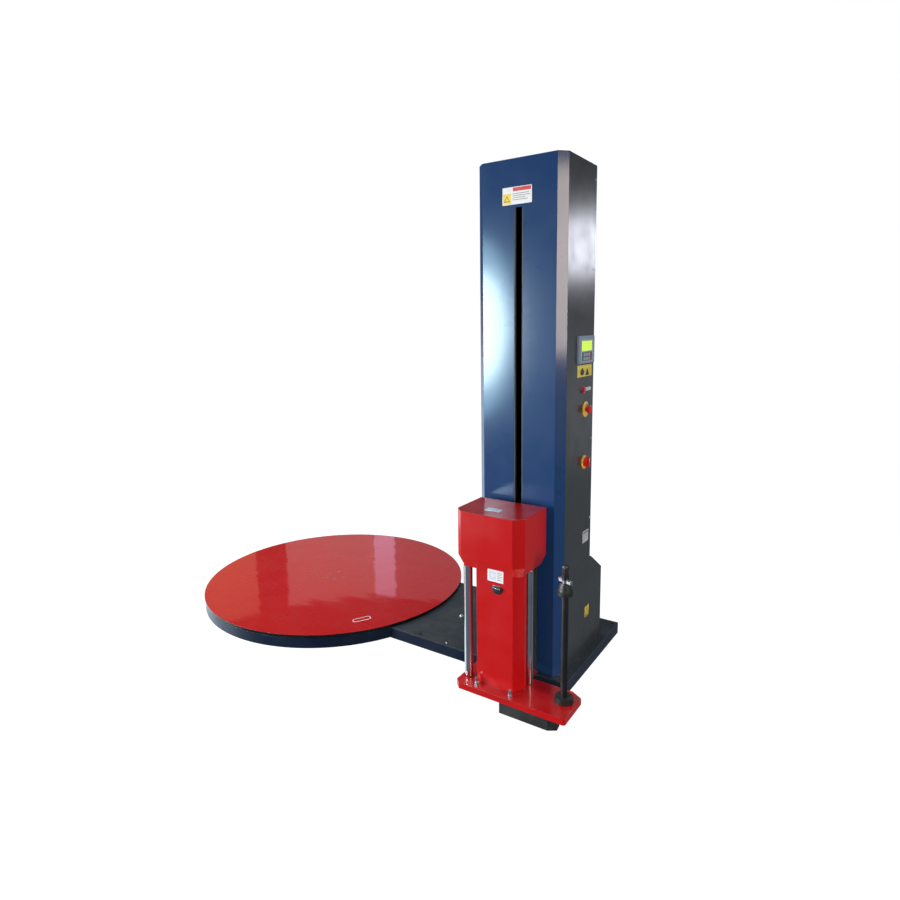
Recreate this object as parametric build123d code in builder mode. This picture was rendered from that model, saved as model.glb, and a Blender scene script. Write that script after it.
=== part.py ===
"""Turntable pallet wrapper: a low turntable, a flat link frame, a mast and a film carriage.

Millimetres, +Z up.  The origin is on the floor, on the turntable's axis.
+X runs from the turntable to the mast, -Y is the side that the film carriage faces.
"""
import os
from math import asin, cos, hypot, pi, radians, sin, tan

from build123d import *

os.makedirs("parts", exist_ok=True)

# ---------------------------------------------------------------- driving dimensions
# turntable
table_radius = 825.0
table_rise = 15.0
table_plate = 8.0
rim_wall = 2.0
rim_depth = 13.0

# link frame
floor_plate = 8.0
link_width = 720.0
link_end = 1775.0
link_height = 60.0
link_wall = 6.0
link_cover_plate = 5.0

# mast
mast_width = 435.0
mast_depth = 356.0
mast_left = 1300.0
mast_front = -340.0
mast_height = 2410.0
mast_corner = 36.0
mast_sheet = 3.0
slot_width = 43.0
slot_bottom = 600.0
slot_top = 2204.0

# rear housing at the mast's foot
housing_depth = 166.0
housing_back_height = 440.0
housing_top = 540.0
housing_ledge = 20.0

# film carriage
head_width = 336.0
head_depth = 246.0
head_bottom = 676.0
head_top = 892.0
head_corner = 40.0
neck_bottom = 642.0
cover_sheet = 2.0
column_left = 1460.0
column_front_right = 1640.0
column_side_right = 1666.0
column_back = -545.0
carriage_front = -626.0
deck_top = 108.0
deck_depth = 28.0
deck_plate = 10.0
deck_wall = 4.0
deck_left = 1372.0
deck_right = 1906.0
deck_front = -682.0
deck_back = -474.0
back_left = 1395.0
back_right = 1640.0
back_top = 860.0
back_plate_front = -396.0
back_plate_sheet = 8.0
roller_radius = 20.0
left_roller = (1404.0, -604.0)
right_roller = (1662.0, -515.0)
spindle = (1850.0, -560.0)
spindle_radius = 15.0
spindle_top = 675.0
core_spigot_radius = 37.5

# clearances
running = 0.05
gap = 0.3
roll_gap = 0.3
cover_gap = 0.5

# ---------------------------------------------------------------- worked-out places
mast_right = mast_left + mast_width
mast_back = mast_front + mast_depth
mast_mid = mast_left + mast_width / 2
mast_base = link_height
table_top = link_height + table_rise
plate_bottom = table_top - table_plate
skirt_radius = table_radius - 3.0
skirt_wall = 5.0
skirt_height = link_height - 2.0
floor_radius = skirt_radius - skirt_wall


def save(node, name):
    """Label one finished piece and write it as parts/NAME.step."""
    node.part.label = name
    export_step(node.part, "parts/" + name + ".step")


def polar(radius, angle):
    """Return the point at a radius and an angle in degrees."""
    return (radius * cos(radians(angle)), radius * sin(radians(angle)))


# ================================================================ base frame
# ---- floor plate: the disc under the turntable and the tongue under the mast, one sheet
anchor_x = (930.0, 1750.0)
anchor_y = 335.0
anchor_hole = 7.0
anchor_middle = (anchor_x[0] + anchor_x[1]) / 2
anchor_pitch = anchor_x[1] - anchor_x[0]

with BuildPart() as floor_sheet:
    with BuildSketch():
        Circle(floor_radius)
        with Locations(((link_end - link_wall) / 2, 0)):
            Rectangle(link_end - link_wall, link_width - 2 * link_wall)
        with Locations((anchor_middle, 0)):
            with GridLocations(anchor_pitch, 2 * anchor_y, 2, 2):
                Circle(anchor_hole, mode=Mode.SUBTRACT)
    extrude(amount=floor_plate)
save(floor_sheet, "floor_plate")

# ---- ring skirt: the fixed wall under the disc's edge, open where the link frame joins
with BuildPart() as skirt:
    with BuildSketch():
        Circle(skirt_radius)
        Circle(floor_radius, mode=Mode.SUBTRACT)
        with Locations((table_radius / 2, 0)):
            Rectangle(table_radius, link_width, mode=Mode.SUBTRACT)
    extrude(amount=skirt_height)
save(skirt, "ring_skirt")

# ---- link frame: side walls, end wall, two long ribs and the tubes round the anchor bolts
bush_radius = 15.0
rib_offset = 150.0
rib_start = 860.0
rib_wall = 6.0
wall_height = link_height - link_cover_plate
with BuildPart() as link_frame:
    with BuildSketch():
        with Locations((link_end / 2, 0)):
            Rectangle(link_end, link_width)
        with Locations(((link_end - link_wall) / 2, 0)):
            Rectangle(link_end - link_wall, link_width - 2 * link_wall, mode=Mode.SUBTRACT)
        Circle(skirt_radius, mode=Mode.SUBTRACT)
    extrude(amount=wall_height)
    with BuildSketch(Plane.XY.offset(floor_plate)):
        for side in (-1, 1):
            with Locations(((rib_start + link_end - link_wall) / 2, side * rib_offset)):
                Rectangle(link_end - link_wall - rib_start, rib_wall)
    extrude(amount=wall_height - floor_plate)
    with BuildSketch(Plane.XY.offset(floor_plate)):
        with Locations((anchor_middle, 0)):
            with GridLocations(anchor_pitch, 2 * anchor_y, 2, 2):
                Circle(bush_radius)
                Circle(anchor_hole, mode=Mode.SUBTRACT)
    extrude(amount=wall_height - floor_plate)
save(link_frame, "link_frame")

# ---- link cover: the top sheet; its end runs in under the disc with a running gap
cover_arc = table_radius - 40.0
shaft_hole = 32.0
table_shaft = (mast_mid, 0.0)
with BuildPart() as link_cover:
    with BuildSketch(Plane.XY.offset(wall_height)):
        with Locations((link_end / 2, 0)):
            Rectangle(link_end, link_width)
        Circle(cover_arc, mode=Mode.SUBTRACT)
        with Locations(table_shaft):
            Circle(shaft_hole, mode=Mode.SUBTRACT)
        with Locations((anchor_middle, 0)):
            with GridLocations(anchor_pitch, 2 * anchor_y, 2, 2):
                Circle(anchor_hole, mode=Mode.SUBTRACT)
    extrude(amount=link_cover_plate)
save(link_cover, "link_cover")

# ================================================================ turntable
# ---- centre: fixed spindle with its ball race, and the hub that hangs under the disc
hub_radius = 80.0
hub_bottom = 22.0
hub_spindle_radius = 25.0
hub_spindle_flange = 90.0
hub_flange_height = 10.0
hub_spindle_top = plate_bottom - 7.0
bearing_bottom = 32.0
bearing_height = 20.0
bearing_outer_radius = 45.0
race_wall = 6.0
ball_radius = (bearing_outer_radius - hub_spindle_radius - 2 * race_wall) / 2 - running
ball_circle = (bearing_outer_radius + hub_spindle_radius) / 2
ball_count = 14

with BuildPart() as hub_spindle:
    with BuildSketch(Plane.XY.offset(floor_plate)):
        Circle(hub_spindle_flange)
    extrude(amount=hub_flange_height)
    with BuildSketch(Plane.XY.offset(floor_plate)):
        Circle(hub_spindle_radius)
    extrude(amount=hub_spindle_top - floor_plate)
    with BuildSketch(Plane.XY.offset(floor_plate)):
        Circle(hub_spindle_radius + race_wall)
    extrude(amount=bearing_bottom - floor_plate)
    with BuildSketch(Plane.XY.offset(bearing_bottom)):
        Circle(hub_spindle_radius + race_wall)
    extrude(amount=bearing_height)
    with Locations((0, 0, bearing_bottom + bearing_height / 2)):
        with PolarLocations(ball_circle, ball_count):
            Sphere(ball_radius)
save(hub_spindle, "hub_spindle")

table_pitch = 19.05
ring_teeth = 76
drive_teeth = 15
tooth_width = 10.0
sprocket_bottom = 28.0
tooth_seat = 6.0
tooth_height = 5.0
hub_windows = 6
hub_window_radius = 40.0


def pitch_radius(pitch, teeth):
    """Return the pitch radius of a chain sprocket."""
    return pitch / (2 * sin(pi / teeth))


ring_pitch_radius = pitch_radius(table_pitch, ring_teeth)
drive_pitch_radius = pitch_radius(table_pitch, drive_teeth)

with BuildPart() as hub_housing:
    with BuildSketch(Plane.XY.offset(hub_bottom)):
        Circle(hub_radius)
        Circle(bearing_outer_radius - race_wall, mode=Mode.SUBTRACT)
    extrude(amount=plate_bottom - hub_bottom)
    with BuildSketch(Plane.XY.offset(sprocket_bottom)):
        Circle(ring_pitch_radius + tooth_height)
        Circle(hub_radius - 1.0, mode=Mode.SUBTRACT)
        with PolarLocations(ring_pitch_radius, ring_teeth):
            Circle(tooth_seat, mode=Mode.SUBTRACT)
        with PolarLocations((hub_radius + ring_pitch_radius) / 2, hub_windows):
            Circle(hub_window_radius, mode=Mode.SUBTRACT)
    extrude(amount=tooth_width)
save(hub_housing, "hub_sprocket")

# ---- the disc, its edge band and the countersunk hub screws
screw_count = 6
screw_circle = 63.0
screw_radius = 5.0
screw_head = 9.0
with BuildPart() as table_disc:
    with BuildSketch(Plane.XY.offset(plate_bottom)):
        Circle(table_radius)
    extrude(amount=table_plate)
    with BuildSketch(Plane.XY.offset(table_top - rim_depth)):
        Circle(table_radius)
        Circle(table_radius - rim_wall, mode=Mode.SUBTRACT)
    extrude(amount=rim_depth)
    with Locations((0, 0, table_top)):
        with PolarLocations(screw_circle, screw_count):
            CounterSinkHole(screw_radius, screw_head, table_plate, 90)
save(table_disc, "turntable_plate")

cone_depth = screw_head - screw_radius
with BuildPart() as hub_screws:
    with BuildSketch(Plane.XZ) as screw_outline:
        with BuildLine():
            Polyline(
                (0, plate_bottom), (screw_radius, plate_bottom), (screw_radius, table_top - cone_depth),
                (screw_head, table_top), (0, table_top), close=True)
        make_face()
    screw_shape = revolve(screw_outline.sketch, axis=Axis.Z, mode=Mode.PRIVATE)
    with PolarLocations(screw_circle, screw_count):
        add(screw_shape)
save(hub_screws, "hub_screws")

# ---- support wheels: six rollers in brackets on the floor plate
wheel_count = 6
wheel_inset = 135.0
wheel_circle = table_radius - wheel_inset
wheel_radius = 26.0
wheel_width = 24.0
wheel_axle = 6.0
wheel_axis = plate_bottom - roll_gap - wheel_radius
wheel_start = 360.0 / wheel_count / 2
bracket_wall = 5.0
bracket_gap = 1.0
bracket_length = 56.0
bracket_over = 12.0
bracket_top = wheel_axis + bracket_over
for index in range(wheel_count):
    angle = wheel_start + index * 360.0 / wheel_count
    x_place, y_place = polar(wheel_circle, angle)
    wheel_plane = Plane(origin=(x_place, y_place, wheel_axis), z_dir=(*polar(1, angle), 0))
    with BuildPart() as support_wheel:
        with BuildSketch(wheel_plane):
            Circle(wheel_radius)
            Circle(wheel_axle + running, mode=Mode.SUBTRACT)
        extrude(amount=wheel_width / 2, both=True)
    save(support_wheel, "support_wheel_" + str(index + 1))

cheek_offset = wheel_width / 2 + bracket_gap + bracket_wall / 2
axle_length = wheel_width + 2 * bracket_gap + 2 * bracket_wall
with BuildPart() as one_bracket:
    with Locations((wheel_circle, 0, floor_plate)):
        for side in (-1, 1):
            with Locations((side * cheek_offset, 0, 0)):
                Box(bracket_wall, bracket_length, bracket_top - floor_plate,
                    align=(Align.CENTER, Align.CENTER, Align.MIN))
    with Locations((wheel_circle, 0, wheel_axis)):
        with Locations(Rotation(0, 90, 0)):
            Cylinder(wheel_axle, axle_length)
with BuildPart() as wheel_brackets:
    with Locations(Rotation(0, 0, wheel_start)):
        with PolarLocations(0, wheel_count):
            add(one_bracket.part)
save(wheel_brackets, "wheel_brackets")

# ---- table drive: drive sprocket, chain and gearmotor
gearbox_side = 110.0
gearbox_height = 110.0
gearbox_edge = 12.0
foot_plate = 10.0
foot_top = mast_base + foot_plate
drive_shaft_radius = 12.5
with BuildPart() as drive_sprocket:
    with BuildSketch(Plane.XY.offset(sprocket_bottom)):
        with Locations(table_shaft):
            Circle(drive_pitch_radius + tooth_height)
            with PolarLocations(drive_pitch_radius, drive_teeth):
                Circle(tooth_seat, mode=Mode.SUBTRACT)
    extrude(amount=tooth_width)
    with BuildSketch(Plane.XY.offset(sprocket_bottom)):
        with Locations(table_shaft):
            Circle(drive_shaft_radius)
    extrude(amount=foot_top + gearbox_height - sprocket_bottom)
save(drive_sprocket, "table_drive_sprocket")


chain_half_height = 8.0
chain_side_plate = 2.0
chain_side_gap = 0.5
chain_bottom = sprocket_bottom - chain_side_gap - chain_side_plate
chain_top = sprocket_bottom + tooth_width + chain_side_gap
pin_radius = 3.0
pin_height = chain_top - chain_bottom
table_run = table_shaft[0]
run_tilt = asin((ring_pitch_radius - drive_pitch_radius) / table_run)
run_start = 300.0
run_end = table_run - 120.0
run_pins = 24
with BuildPart() as table_chain:
    for level in (chain_bottom, chain_top):
        with BuildSketch(Plane.XY.offset(level)) as outer_loop:
            Circle(ring_pitch_radius + chain_half_height)
            with Locations(table_shaft):
                Circle(drive_pitch_radius + chain_half_height)
            make_hull()
        extrude(amount=chain_side_plate)
        with BuildSketch(Plane.XY.offset(level)) as inner_loop:
            Circle(ring_pitch_radius - chain_half_height)
            with Locations(table_shaft):
                Circle(drive_pitch_radius - chain_half_height)
            make_hull()
        extrude(amount=chain_side_plate, mode=Mode.SUBTRACT)
    with BuildSketch(Plane.XY.offset(chain_bottom)):
        for side in (-1, 1):
            for index in range(run_pins):
                along = run_start + (run_end - run_start) * index / (run_pins - 1)
                across = (ring_pitch_radius - along * sin(run_tilt)) / cos(run_tilt)
                with Locations((along, side * across)):
                    Circle(pin_radius)
    extrude(amount=pin_height)
save(table_chain, "table_drive_chain")

motor_radius = 52.0
motor_length = 230.0
motor_axis_height = foot_top + gearbox_height / 2
with BuildPart() as table_gearbox:
    with Locations((table_shaft[0], table_shaft[1], foot_top)):
        Box(gearbox_side, gearbox_side, gearbox_height, align=(Align.CENTER, Align.CENTER, Align.MIN))
    fillet(table_gearbox.edges().filter_by(Axis.Z), radius=gearbox_edge)
    with BuildSketch(Plane.XY.offset(foot_top)):
        with Locations(table_shaft):
            Circle(drive_shaft_radius + running)
    extrude(amount=gearbox_height, mode=Mode.SUBTRACT)
    with BuildSketch(Plane(origin=(table_shaft[0], -gearbox_side / 2, motor_axis_height), z_dir=(0, -1, 0))):
        Circle(motor_radius)
    extrude(amount=motor_length)
save(table_gearbox, "table_gearmotor")

# ================================================================ mast
panel_top = mast_height - mast_sheet
# ---- front panel: the face, both bevelled corners and the carriage slot
with BuildPart() as mast_face:
    with BuildSketch(Plane.XY.offset(mast_base)):
        with BuildLine():
            bend = mast_sheet * tan(radians(22.5))
            Polyline(
                (mast_left, mast_front + mast_corner),
                (mast_left + mast_corner, mast_front),
                (mast_right - mast_corner, mast_front),
                (mast_right, mast_front + mast_corner),
                (mast_right - mast_sheet, mast_front + mast_corner),
                (mast_right - mast_corner - bend, mast_front + mast_sheet),
                (mast_left + mast_corner + bend, mast_front + mast_sheet),
                (mast_left + mast_sheet, mast_front + mast_corner),
                close=True)
        make_face()
    extrude(amount=panel_top - mast_base)
    with BuildSketch(Plane.XZ.offset(-mast_front)):
        with Locations((mast_mid, (slot_bottom + slot_top) / 2)):
            Rectangle(slot_width, slot_top - slot_bottom)
    extrude(amount=-mast_sheet, mode=Mode.SUBTRACT)
save(mast_face, "mast_front_panel")

# ---- slot seals: two rubber lips that narrow the slot
seal_width = 5.0
seal_depth = 12.0
with BuildPart() as slot_seals:
    for side in (-1, 1):
        with Locations((mast_mid + side * (slot_width - seal_width) / 2, mast_front + 1.0, slot_bottom)):
            Box(seal_width, seal_depth, slot_top - slot_bottom, align=(Align.CENTER, Align.MIN, Align.MIN))
save(slot_seals, "slot_seals")

# ---- side panels
hmi_back = 50.0
hmi_y = -95.0
hmi_z = 1580.0
hmi_width = 185.0
hmi_height = 126.0
hmi_body_width = 170.0
hmi_body_height = 112.0
side_length = mast_back - (mast_front + mast_corner)
side_middle = (mast_back + mast_front + mast_corner) / 2
with BuildPart() as left_panel:
    with Locations((mast_left, side_middle, mast_base)):
        Box(mast_sheet, side_length, panel_top - mast_base, align=(Align.MIN, Align.CENTER, Align.MIN))
save(left_panel, "mast_left_panel")

button_y = -112.0
button_z = 1394.0
button_hole = 11.5
stop_y = -80.0
stop_z = 1300.0
stop_hole = 11.5
switch_y = -85.0
switch_z = 1048.0
with BuildPart() as right_panel:
    with Locations((mast_right, side_middle, mast_base)):
        Box(mast_sheet, side_length, panel_top - mast_base, align=(Align.MAX, Align.CENTER, Align.MIN))
    with Locations((mast_right, hmi_y, hmi_z)):
        Box(4 * mast_sheet, hmi_body_width, hmi_body_height, mode=Mode.SUBTRACT)
    with BuildSketch(Plane.YZ.offset(mast_right)):
        for place, hole in (((button_y, button_z), button_hole), ((stop_y, stop_z), stop_hole),
                            ((switch_y, switch_z), stop_hole)):
            with Locations(place):
                Circle(hole)
    extrude(amount=-mast_sheet, mode=Mode.SUBTRACT)
save(right_panel, "mast_right_panel")

with BuildPart() as rear_panel:
    with Locations((mast_mid, mast_back, housing_top)):
        Box(mast_width - 2 * mast_sheet, mast_sheet, panel_top - housing_top,
            align=(Align.CENTER, Align.MAX, Align.MIN))
save(rear_panel, "mast_rear_panel")

with BuildPart() as mast_cap:
    with BuildSketch(Plane.XY.offset(panel_top)):
        with Locations((mast_mid, (mast_front + mast_back) / 2)):
            Rectangle(mast_width, mast_depth)
            cap_points = vertices().group_by(Axis.Y)[0]
        chamfer(cap_points, mast_corner)
    extrude(amount=mast_sheet)
save(mast_cap, "mast_top_cap")

# ---- mast frame: the foot plate and the two square tubes that the carriage's wheels run on
rail_size = 40.0
rail_wall = 3.0
rail_pitch = 200.0
rail_front = -270.0
rail_back = rail_front + rail_size
with BuildPart() as mast_frame:
    with BuildSketch(Plane.XY.offset(mast_base)):
        with Locations((mast_mid, (mast_front + mast_back) / 2)):
            Rectangle(mast_width - 2 * mast_sheet, mast_depth - 2 * mast_sheet)
            chamfer_points = vertices().group_by(Axis.Y)[0]
        chamfer(chamfer_points, mast_corner)
        with Locations(table_shaft):
            Circle(shaft_hole, mode=Mode.SUBTRACT)
    extrude(amount=foot_plate)
    with BuildSketch(Plane.XY.offset(foot_top)):
        with Locations((mast_mid, (rail_front + rail_back) / 2)):
            with GridLocations(rail_pitch, 0, 2, 1):
                Rectangle(rail_size, rail_size)
                Rectangle(rail_size - 2 * rail_wall, rail_size - 2 * rail_wall, mode=Mode.SUBTRACT)
    extrude(amount=panel_top - foot_top)
save(mast_frame, "mast_frame")

# ---- rear housing: the shell behind the mast's foot that covers the two gearmotors
housing_back = mast_back + housing_depth
with BuildPart() as rear_shell:
    with BuildSketch(Plane.YZ.offset(mast_left)):
        with BuildLine():
            Polyline(
                (mast_back, mast_base), (housing_back, mast_base), (housing_back, housing_back_height),
                (mast_back + housing_ledge, housing_top), (mast_back, housing_top), close=True)
        make_face()
    extrude(amount=mast_width)
    with BuildSketch(Plane.YZ.offset(mast_left + mast_sheet)):
        with BuildLine():
            Polyline(
                (mast_back, mast_base), (housing_back - mast_sheet, mast_base),
                (housing_back - mast_sheet, housing_back_height - 2 * mast_sheet),
                (mast_back + housing_ledge - mast_sheet, housing_top - mast_sheet),
                (mast_back, housing_top - mast_sheet), close=True)
        make_face()
    extrude(amount=mast_width - 2 * mast_sheet, mode=Mode.SUBTRACT)
save(rear_shell, "rear_housing")

# ================================================================ lift drive
lift_pitch = 12.7
lift_teeth = 17
lift_radius = pitch_radius(lift_pitch, lift_teeth)
lift_seat = 4.3
lift_tooth_height = 3.2
lift_tooth_width = 7.0
lift_y = -90.0
lower_z = 380.0
upper_z = 2330.0
lift_shaft_radius = 10.0
lift_box_side = 100.0
lift_box_x = mast_mid + 18.0
lift_shaft_end = 8.0
upper_half = 28.0
for name, height, right_end in (("lift_lower_sprocket", lower_z, lift_box_x + lift_box_side),
                                ("lift_upper_sprocket", upper_z, mast_mid + upper_half)):
    left_end = mast_mid - (upper_half if height == upper_z else lift_shaft_end)
    with BuildPart() as lift_sprocket:
        with BuildSketch(Plane.YZ.offset(mast_mid - lift_tooth_width / 2)):
            with Locations((lift_y, height)):
                Circle(lift_radius + lift_tooth_height)
                with PolarLocations(lift_radius, lift_teeth):
                    Circle(lift_seat, mode=Mode.SUBTRACT)
        extrude(amount=lift_tooth_width)
        with BuildSketch(Plane.YZ.offset(left_end)):
            with Locations((lift_y, height)):
                Circle(lift_shaft_radius)
        extrude(amount=right_end - left_end)
    save(lift_sprocket, name)

lift_half_height = 5.5
lift_side_plate = 1.5
lift_side_gap = 0.4
with BuildPart() as lift_chain:
    side_low = -lift_tooth_width / 2 - lift_side_gap - lift_side_plate
    side_high = lift_tooth_width / 2 + lift_side_gap
    for side_place in (side_low, side_high):
        with BuildSketch(Plane.YZ.offset(mast_mid + side_place)):
            with Locations((lift_y, lower_z), (lift_y, upper_z)):
                Circle(lift_radius + lift_half_height)
            make_hull()
        extrude(amount=lift_side_plate)
        with BuildSketch(Plane.YZ.offset(mast_mid + side_place)):
            with Locations((lift_y, lower_z), (lift_y, upper_z)):
                Circle(lift_radius - lift_half_height)
            make_hull()
        extrude(amount=lift_side_plate, mode=Mode.SUBTRACT)
    lift_pins = 40
    pin_margin = 60.0
    lift_pin_radius = 2.0
    lift_chain_half = lift_tooth_width / 2 + lift_side_gap + lift_side_plate
    with BuildSketch(Plane.YZ.offset(mast_mid - lift_chain_half)):
        for side in (-1, 1):
            for index in range(lift_pins):
                height = lower_z + pin_margin + (upper_z - lower_z - 2 * pin_margin) * index / (lift_pins - 1)
                with Locations((lift_y + side * lift_radius, height)):
                    Circle(lift_pin_radius)
    extrude(amount=2 * lift_chain_half)
save(lift_chain, "lift_chain")

lift_motor_radius = 46.0
lift_motor_length = 190.0
lift_box_middle = lift_box_x + lift_box_side / 2
with BuildPart() as lift_gearbox:
    with Locations((lift_box_x, lift_y, lower_z)):
        Box(lift_box_side, lift_box_side, lift_box_side, align=(Align.MIN, Align.CENTER, Align.CENTER))
    fillet(lift_gearbox.edges().filter_by(Axis.X), radius=gearbox_edge)
    with BuildSketch(Plane.YZ.offset(lift_box_x)):
        with Locations((lift_y, lower_z)):
            Circle(lift_shaft_radius + running)
    extrude(amount=lift_box_side, mode=Mode.SUBTRACT)
    with BuildSketch(Plane(origin=(lift_box_middle, lift_y + lift_box_side / 2, lower_z), z_dir=(0, 1, 0))):
        Circle(lift_motor_radius)
    extrude(amount=lift_motor_length)
save(lift_gearbox, "lift_gearmotor")

shelf_sheet = 8.0
shelf_top = lower_z - lift_box_side / 2
shelf_right = mast_right - mast_sheet
shelf_left = lift_box_x - 10.0
cheek_wall = 6.0
cheek_depth = 60.0
cheek_under = 25.0
shelf_depth = lift_box_side + 20.0
shelf_flange = 100.0
with BuildPart() as lift_shelf:
    with Locations(((shelf_left + shelf_right) / 2, lift_y, shelf_top)):
        Box(shelf_right - shelf_left, shelf_depth, shelf_sheet,
            align=(Align.CENTER, Align.CENTER, Align.MAX))
    with Locations((shelf_right, lift_y, shelf_top - shelf_sheet)):
        Box(shelf_sheet, shelf_depth, shelf_flange, align=(Align.MAX, Align.CENTER, Align.MAX))
    for side in (-1, 1):
        with Locations((mast_mid + side * (upper_half - cheek_wall / 2), lift_y, upper_z - cheek_under)):
            Box(cheek_wall, cheek_depth, panel_top - upper_z + cheek_under,
                align=(Align.CENTER, Align.CENTER, Align.MIN))
    with Locations((mast_mid, lift_y, panel_top)):
        Box(2 * upper_half, cheek_depth, cheek_wall, align=(Align.CENTER, Align.CENTER, Align.MAX))
    with BuildSketch(Plane.YZ.offset(mast_mid - upper_half)):
        with Locations((lift_y, upper_z)):
            Circle(lift_shaft_radius + running)
    extrude(amount=2 * upper_half, mode=Mode.SUBTRACT)
save(lift_shelf, "lift_brackets")

# ================================================================ controls on the right side
panel_face = mast_right
hmi_rise = 10.0
screen_width = 130.0
screen_height = 46.0
screen_z = hmi_z + 17.0
keys_z = hmi_z - 32.0
keys_height = 40.0
screen_recess = 3.0
keys_recess = 2.0
screen_sheet = 1.5
keys_sheet = 0.8
case_edge = 5.0
with BuildPart() as hmi_case:
    with Locations((panel_face, hmi_y, hmi_z)):
        Box(hmi_rise, hmi_width, hmi_height, align=(Align.MIN, Align.CENTER, Align.CENTER))
    fillet(hmi_case.edges().filter_by(Axis.X), radius=case_edge)
    with Locations((panel_face, hmi_y, hmi_z)):
        Box(hmi_back, hmi_body_width - 1, hmi_body_height - 1, align=(Align.MAX, Align.CENTER, Align.CENTER))
    with Locations((panel_face + hmi_rise, hmi_y, screen_z)):
        Box(2 * screen_recess, screen_width, screen_height, mode=Mode.SUBTRACT)
    with Locations((panel_face + hmi_rise, hmi_y, keys_z)):
        Box(2 * keys_recess, screen_width, keys_height, mode=Mode.SUBTRACT)
save(hmi_case, "operator_panel")

with BuildPart() as hmi_screen:
    with Locations((panel_face + hmi_rise - screen_recess, hmi_y, screen_z)):
        Box(screen_sheet, screen_width, screen_height, align=(Align.MIN, Align.CENTER, Align.CENTER))
save(hmi_screen, "operator_screen")

key_size = 14.0
key_corner = 2.5
key_rise = 1.0
key_pitch_across = 21.0
key_pitch_up = 19.0
key_columns = 6
key_rows = 2
with BuildPart() as keypad:
    with Locations((panel_face + hmi_rise - keys_recess, hmi_y, keys_z)):
        Box(keys_sheet, screen_width, keys_height, align=(Align.MIN, Align.CENTER, Align.CENTER))
    with BuildSketch(Plane.YZ.offset(panel_face + hmi_rise - keys_recess + keys_sheet)):
        with Locations((hmi_y, keys_z)):
            with GridLocations(key_pitch_across, key_pitch_up, key_columns, key_rows):
                RectangleRounded(key_size, key_size, key_corner)
    extrude(amount=key_rise)
save(keypad, "membrane_keypad")


def on_side(y_place, z_place, height=0.0):
    """Return the plane on the right side panel, facing +X, at a place and a height."""
    return Plane(origin=(panel_face + height, y_place, z_place), x_dir=(0, 1, 0), z_dir=(1, 0, 0))


stop_disc = 37.0
stop_stem = 10.5
stop_rise = 3.0
stop_depth = 40.0
switch_disc = 33.0
switch_stem = 6.0
switch_rise = 4.0
switch_depth = 45.0
button_travel = 4.0
button_collar = 15.0
button_cap = 10.5
button_rise = 6.0
button_depth = 30.0
button_reach = 14.0
slide_gap = 0.4
back_wall = 4.0
with BuildPart() as surrounds:
    with BuildSketch(on_side(button_y, button_z)):
        Circle(button_collar)
        Circle(button_hole, mode=Mode.SUBTRACT)
    extrude(amount=button_rise)
    with BuildSketch(on_side(button_y, button_z, -button_depth)):
        Circle(button_hole)
        Circle(button_cap + slide_gap, mode=Mode.SUBTRACT)
    extrude(amount=button_depth + button_rise)
    with BuildSketch(on_side(button_y, button_z, -button_depth)):
        Circle(button_hole)
    extrude(amount=back_wall)
    with BuildSketch(on_side(stop_y, stop_z)):
        Circle(stop_disc)
        Circle(stop_hole, mode=Mode.SUBTRACT)
    extrude(amount=stop_rise)
    with BuildSketch(on_side(stop_y, stop_z, -stop_depth)):
        Circle(stop_hole)
        Circle(stop_stem + slide_gap, mode=Mode.SUBTRACT)
    extrude(amount=stop_depth + stop_rise)
    with BuildSketch(on_side(stop_y, stop_z, -stop_depth)):
        Circle(stop_hole)
    extrude(amount=back_wall)
    with BuildSketch(on_side(switch_y, switch_z)):
        Circle(switch_disc)
        Circle(stop_hole, mode=Mode.SUBTRACT)
    extrude(amount=switch_rise)
    with BuildSketch(on_side(switch_y, switch_z, -switch_depth)):
        Circle(stop_hole)
        Circle(switch_stem + running, mode=Mode.SUBTRACT)
    extrude(amount=switch_depth + switch_rise)
save(surrounds, "switch_surrounds")

with BuildPart() as start_cap:
    with BuildSketch(on_side(button_y, button_z, -button_reach)):
        Circle(button_cap)
    extrude(amount=button_reach + button_rise + button_travel)
    fillet(start_cap.edges().sort_by(Axis.X)[-1], radius=1.5)
save(start_cap, "start_button_cap")

with BuildPart() as stop_button:
    with BuildSketch(Plane.XY) as mushroom:
        with BuildLine():
            Polyline((-25, 0), (-25, stop_stem), (16, stop_stem), (16, 20), (26, 20))
            ThreePointArc((26, 20), (30.5, 12), (32, 3))
            Polyline((32, 3), (32, 0), (-25, 0))
        make_face()
    revolve(axis=Axis.X)
stop_shape = stop_button.part
with BuildPart() as stop_cap:
    with Locations((panel_face, stop_y, stop_z)):
        add(stop_shape)
save(stop_cap, "emergency_stop_button")

handle_stem = 30.0
handle_seat = switch_rise + gap
handle_boss = 22.0
handle_boss_rise = 8.0
handle_length = 52.0
handle_width = 14.0
handle_rise = 16.0
handle_edge = 2.0
with BuildPart() as switch_handle:
    with BuildSketch(on_side(switch_y, switch_z, -handle_stem)):
        Circle(switch_stem)
    extrude(amount=handle_stem + handle_seat)
    with BuildSketch(on_side(switch_y, switch_z, handle_seat)):
        Circle(handle_boss)
    extrude(amount=handle_boss_rise)
    with BuildSketch(on_side(switch_y, switch_z, handle_seat + handle_boss_rise)):
        SlotOverall(handle_length, handle_width, rotation=90)
    extrude(amount=handle_rise)
    fillet(switch_handle.faces().sort_by(Axis.X)[-1].edges(), radius=handle_edge)
save(switch_handle, "main_switch_handle")

# ---- electrical cabinet inside the mast, behind the controls
cabinet_y = -75.0
cabinet_z = 700.0
cabinet_size = (100.0, 170.0, 280.0)
with BuildPart() as cabinet:
    with Locations((shelf_right, cabinet_y, cabinet_z)):
        Box(*cabinet_size, align=(Align.MAX, Align.CENTER, Align.MIN))
save(cabinet, "drive_cabinet")

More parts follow.
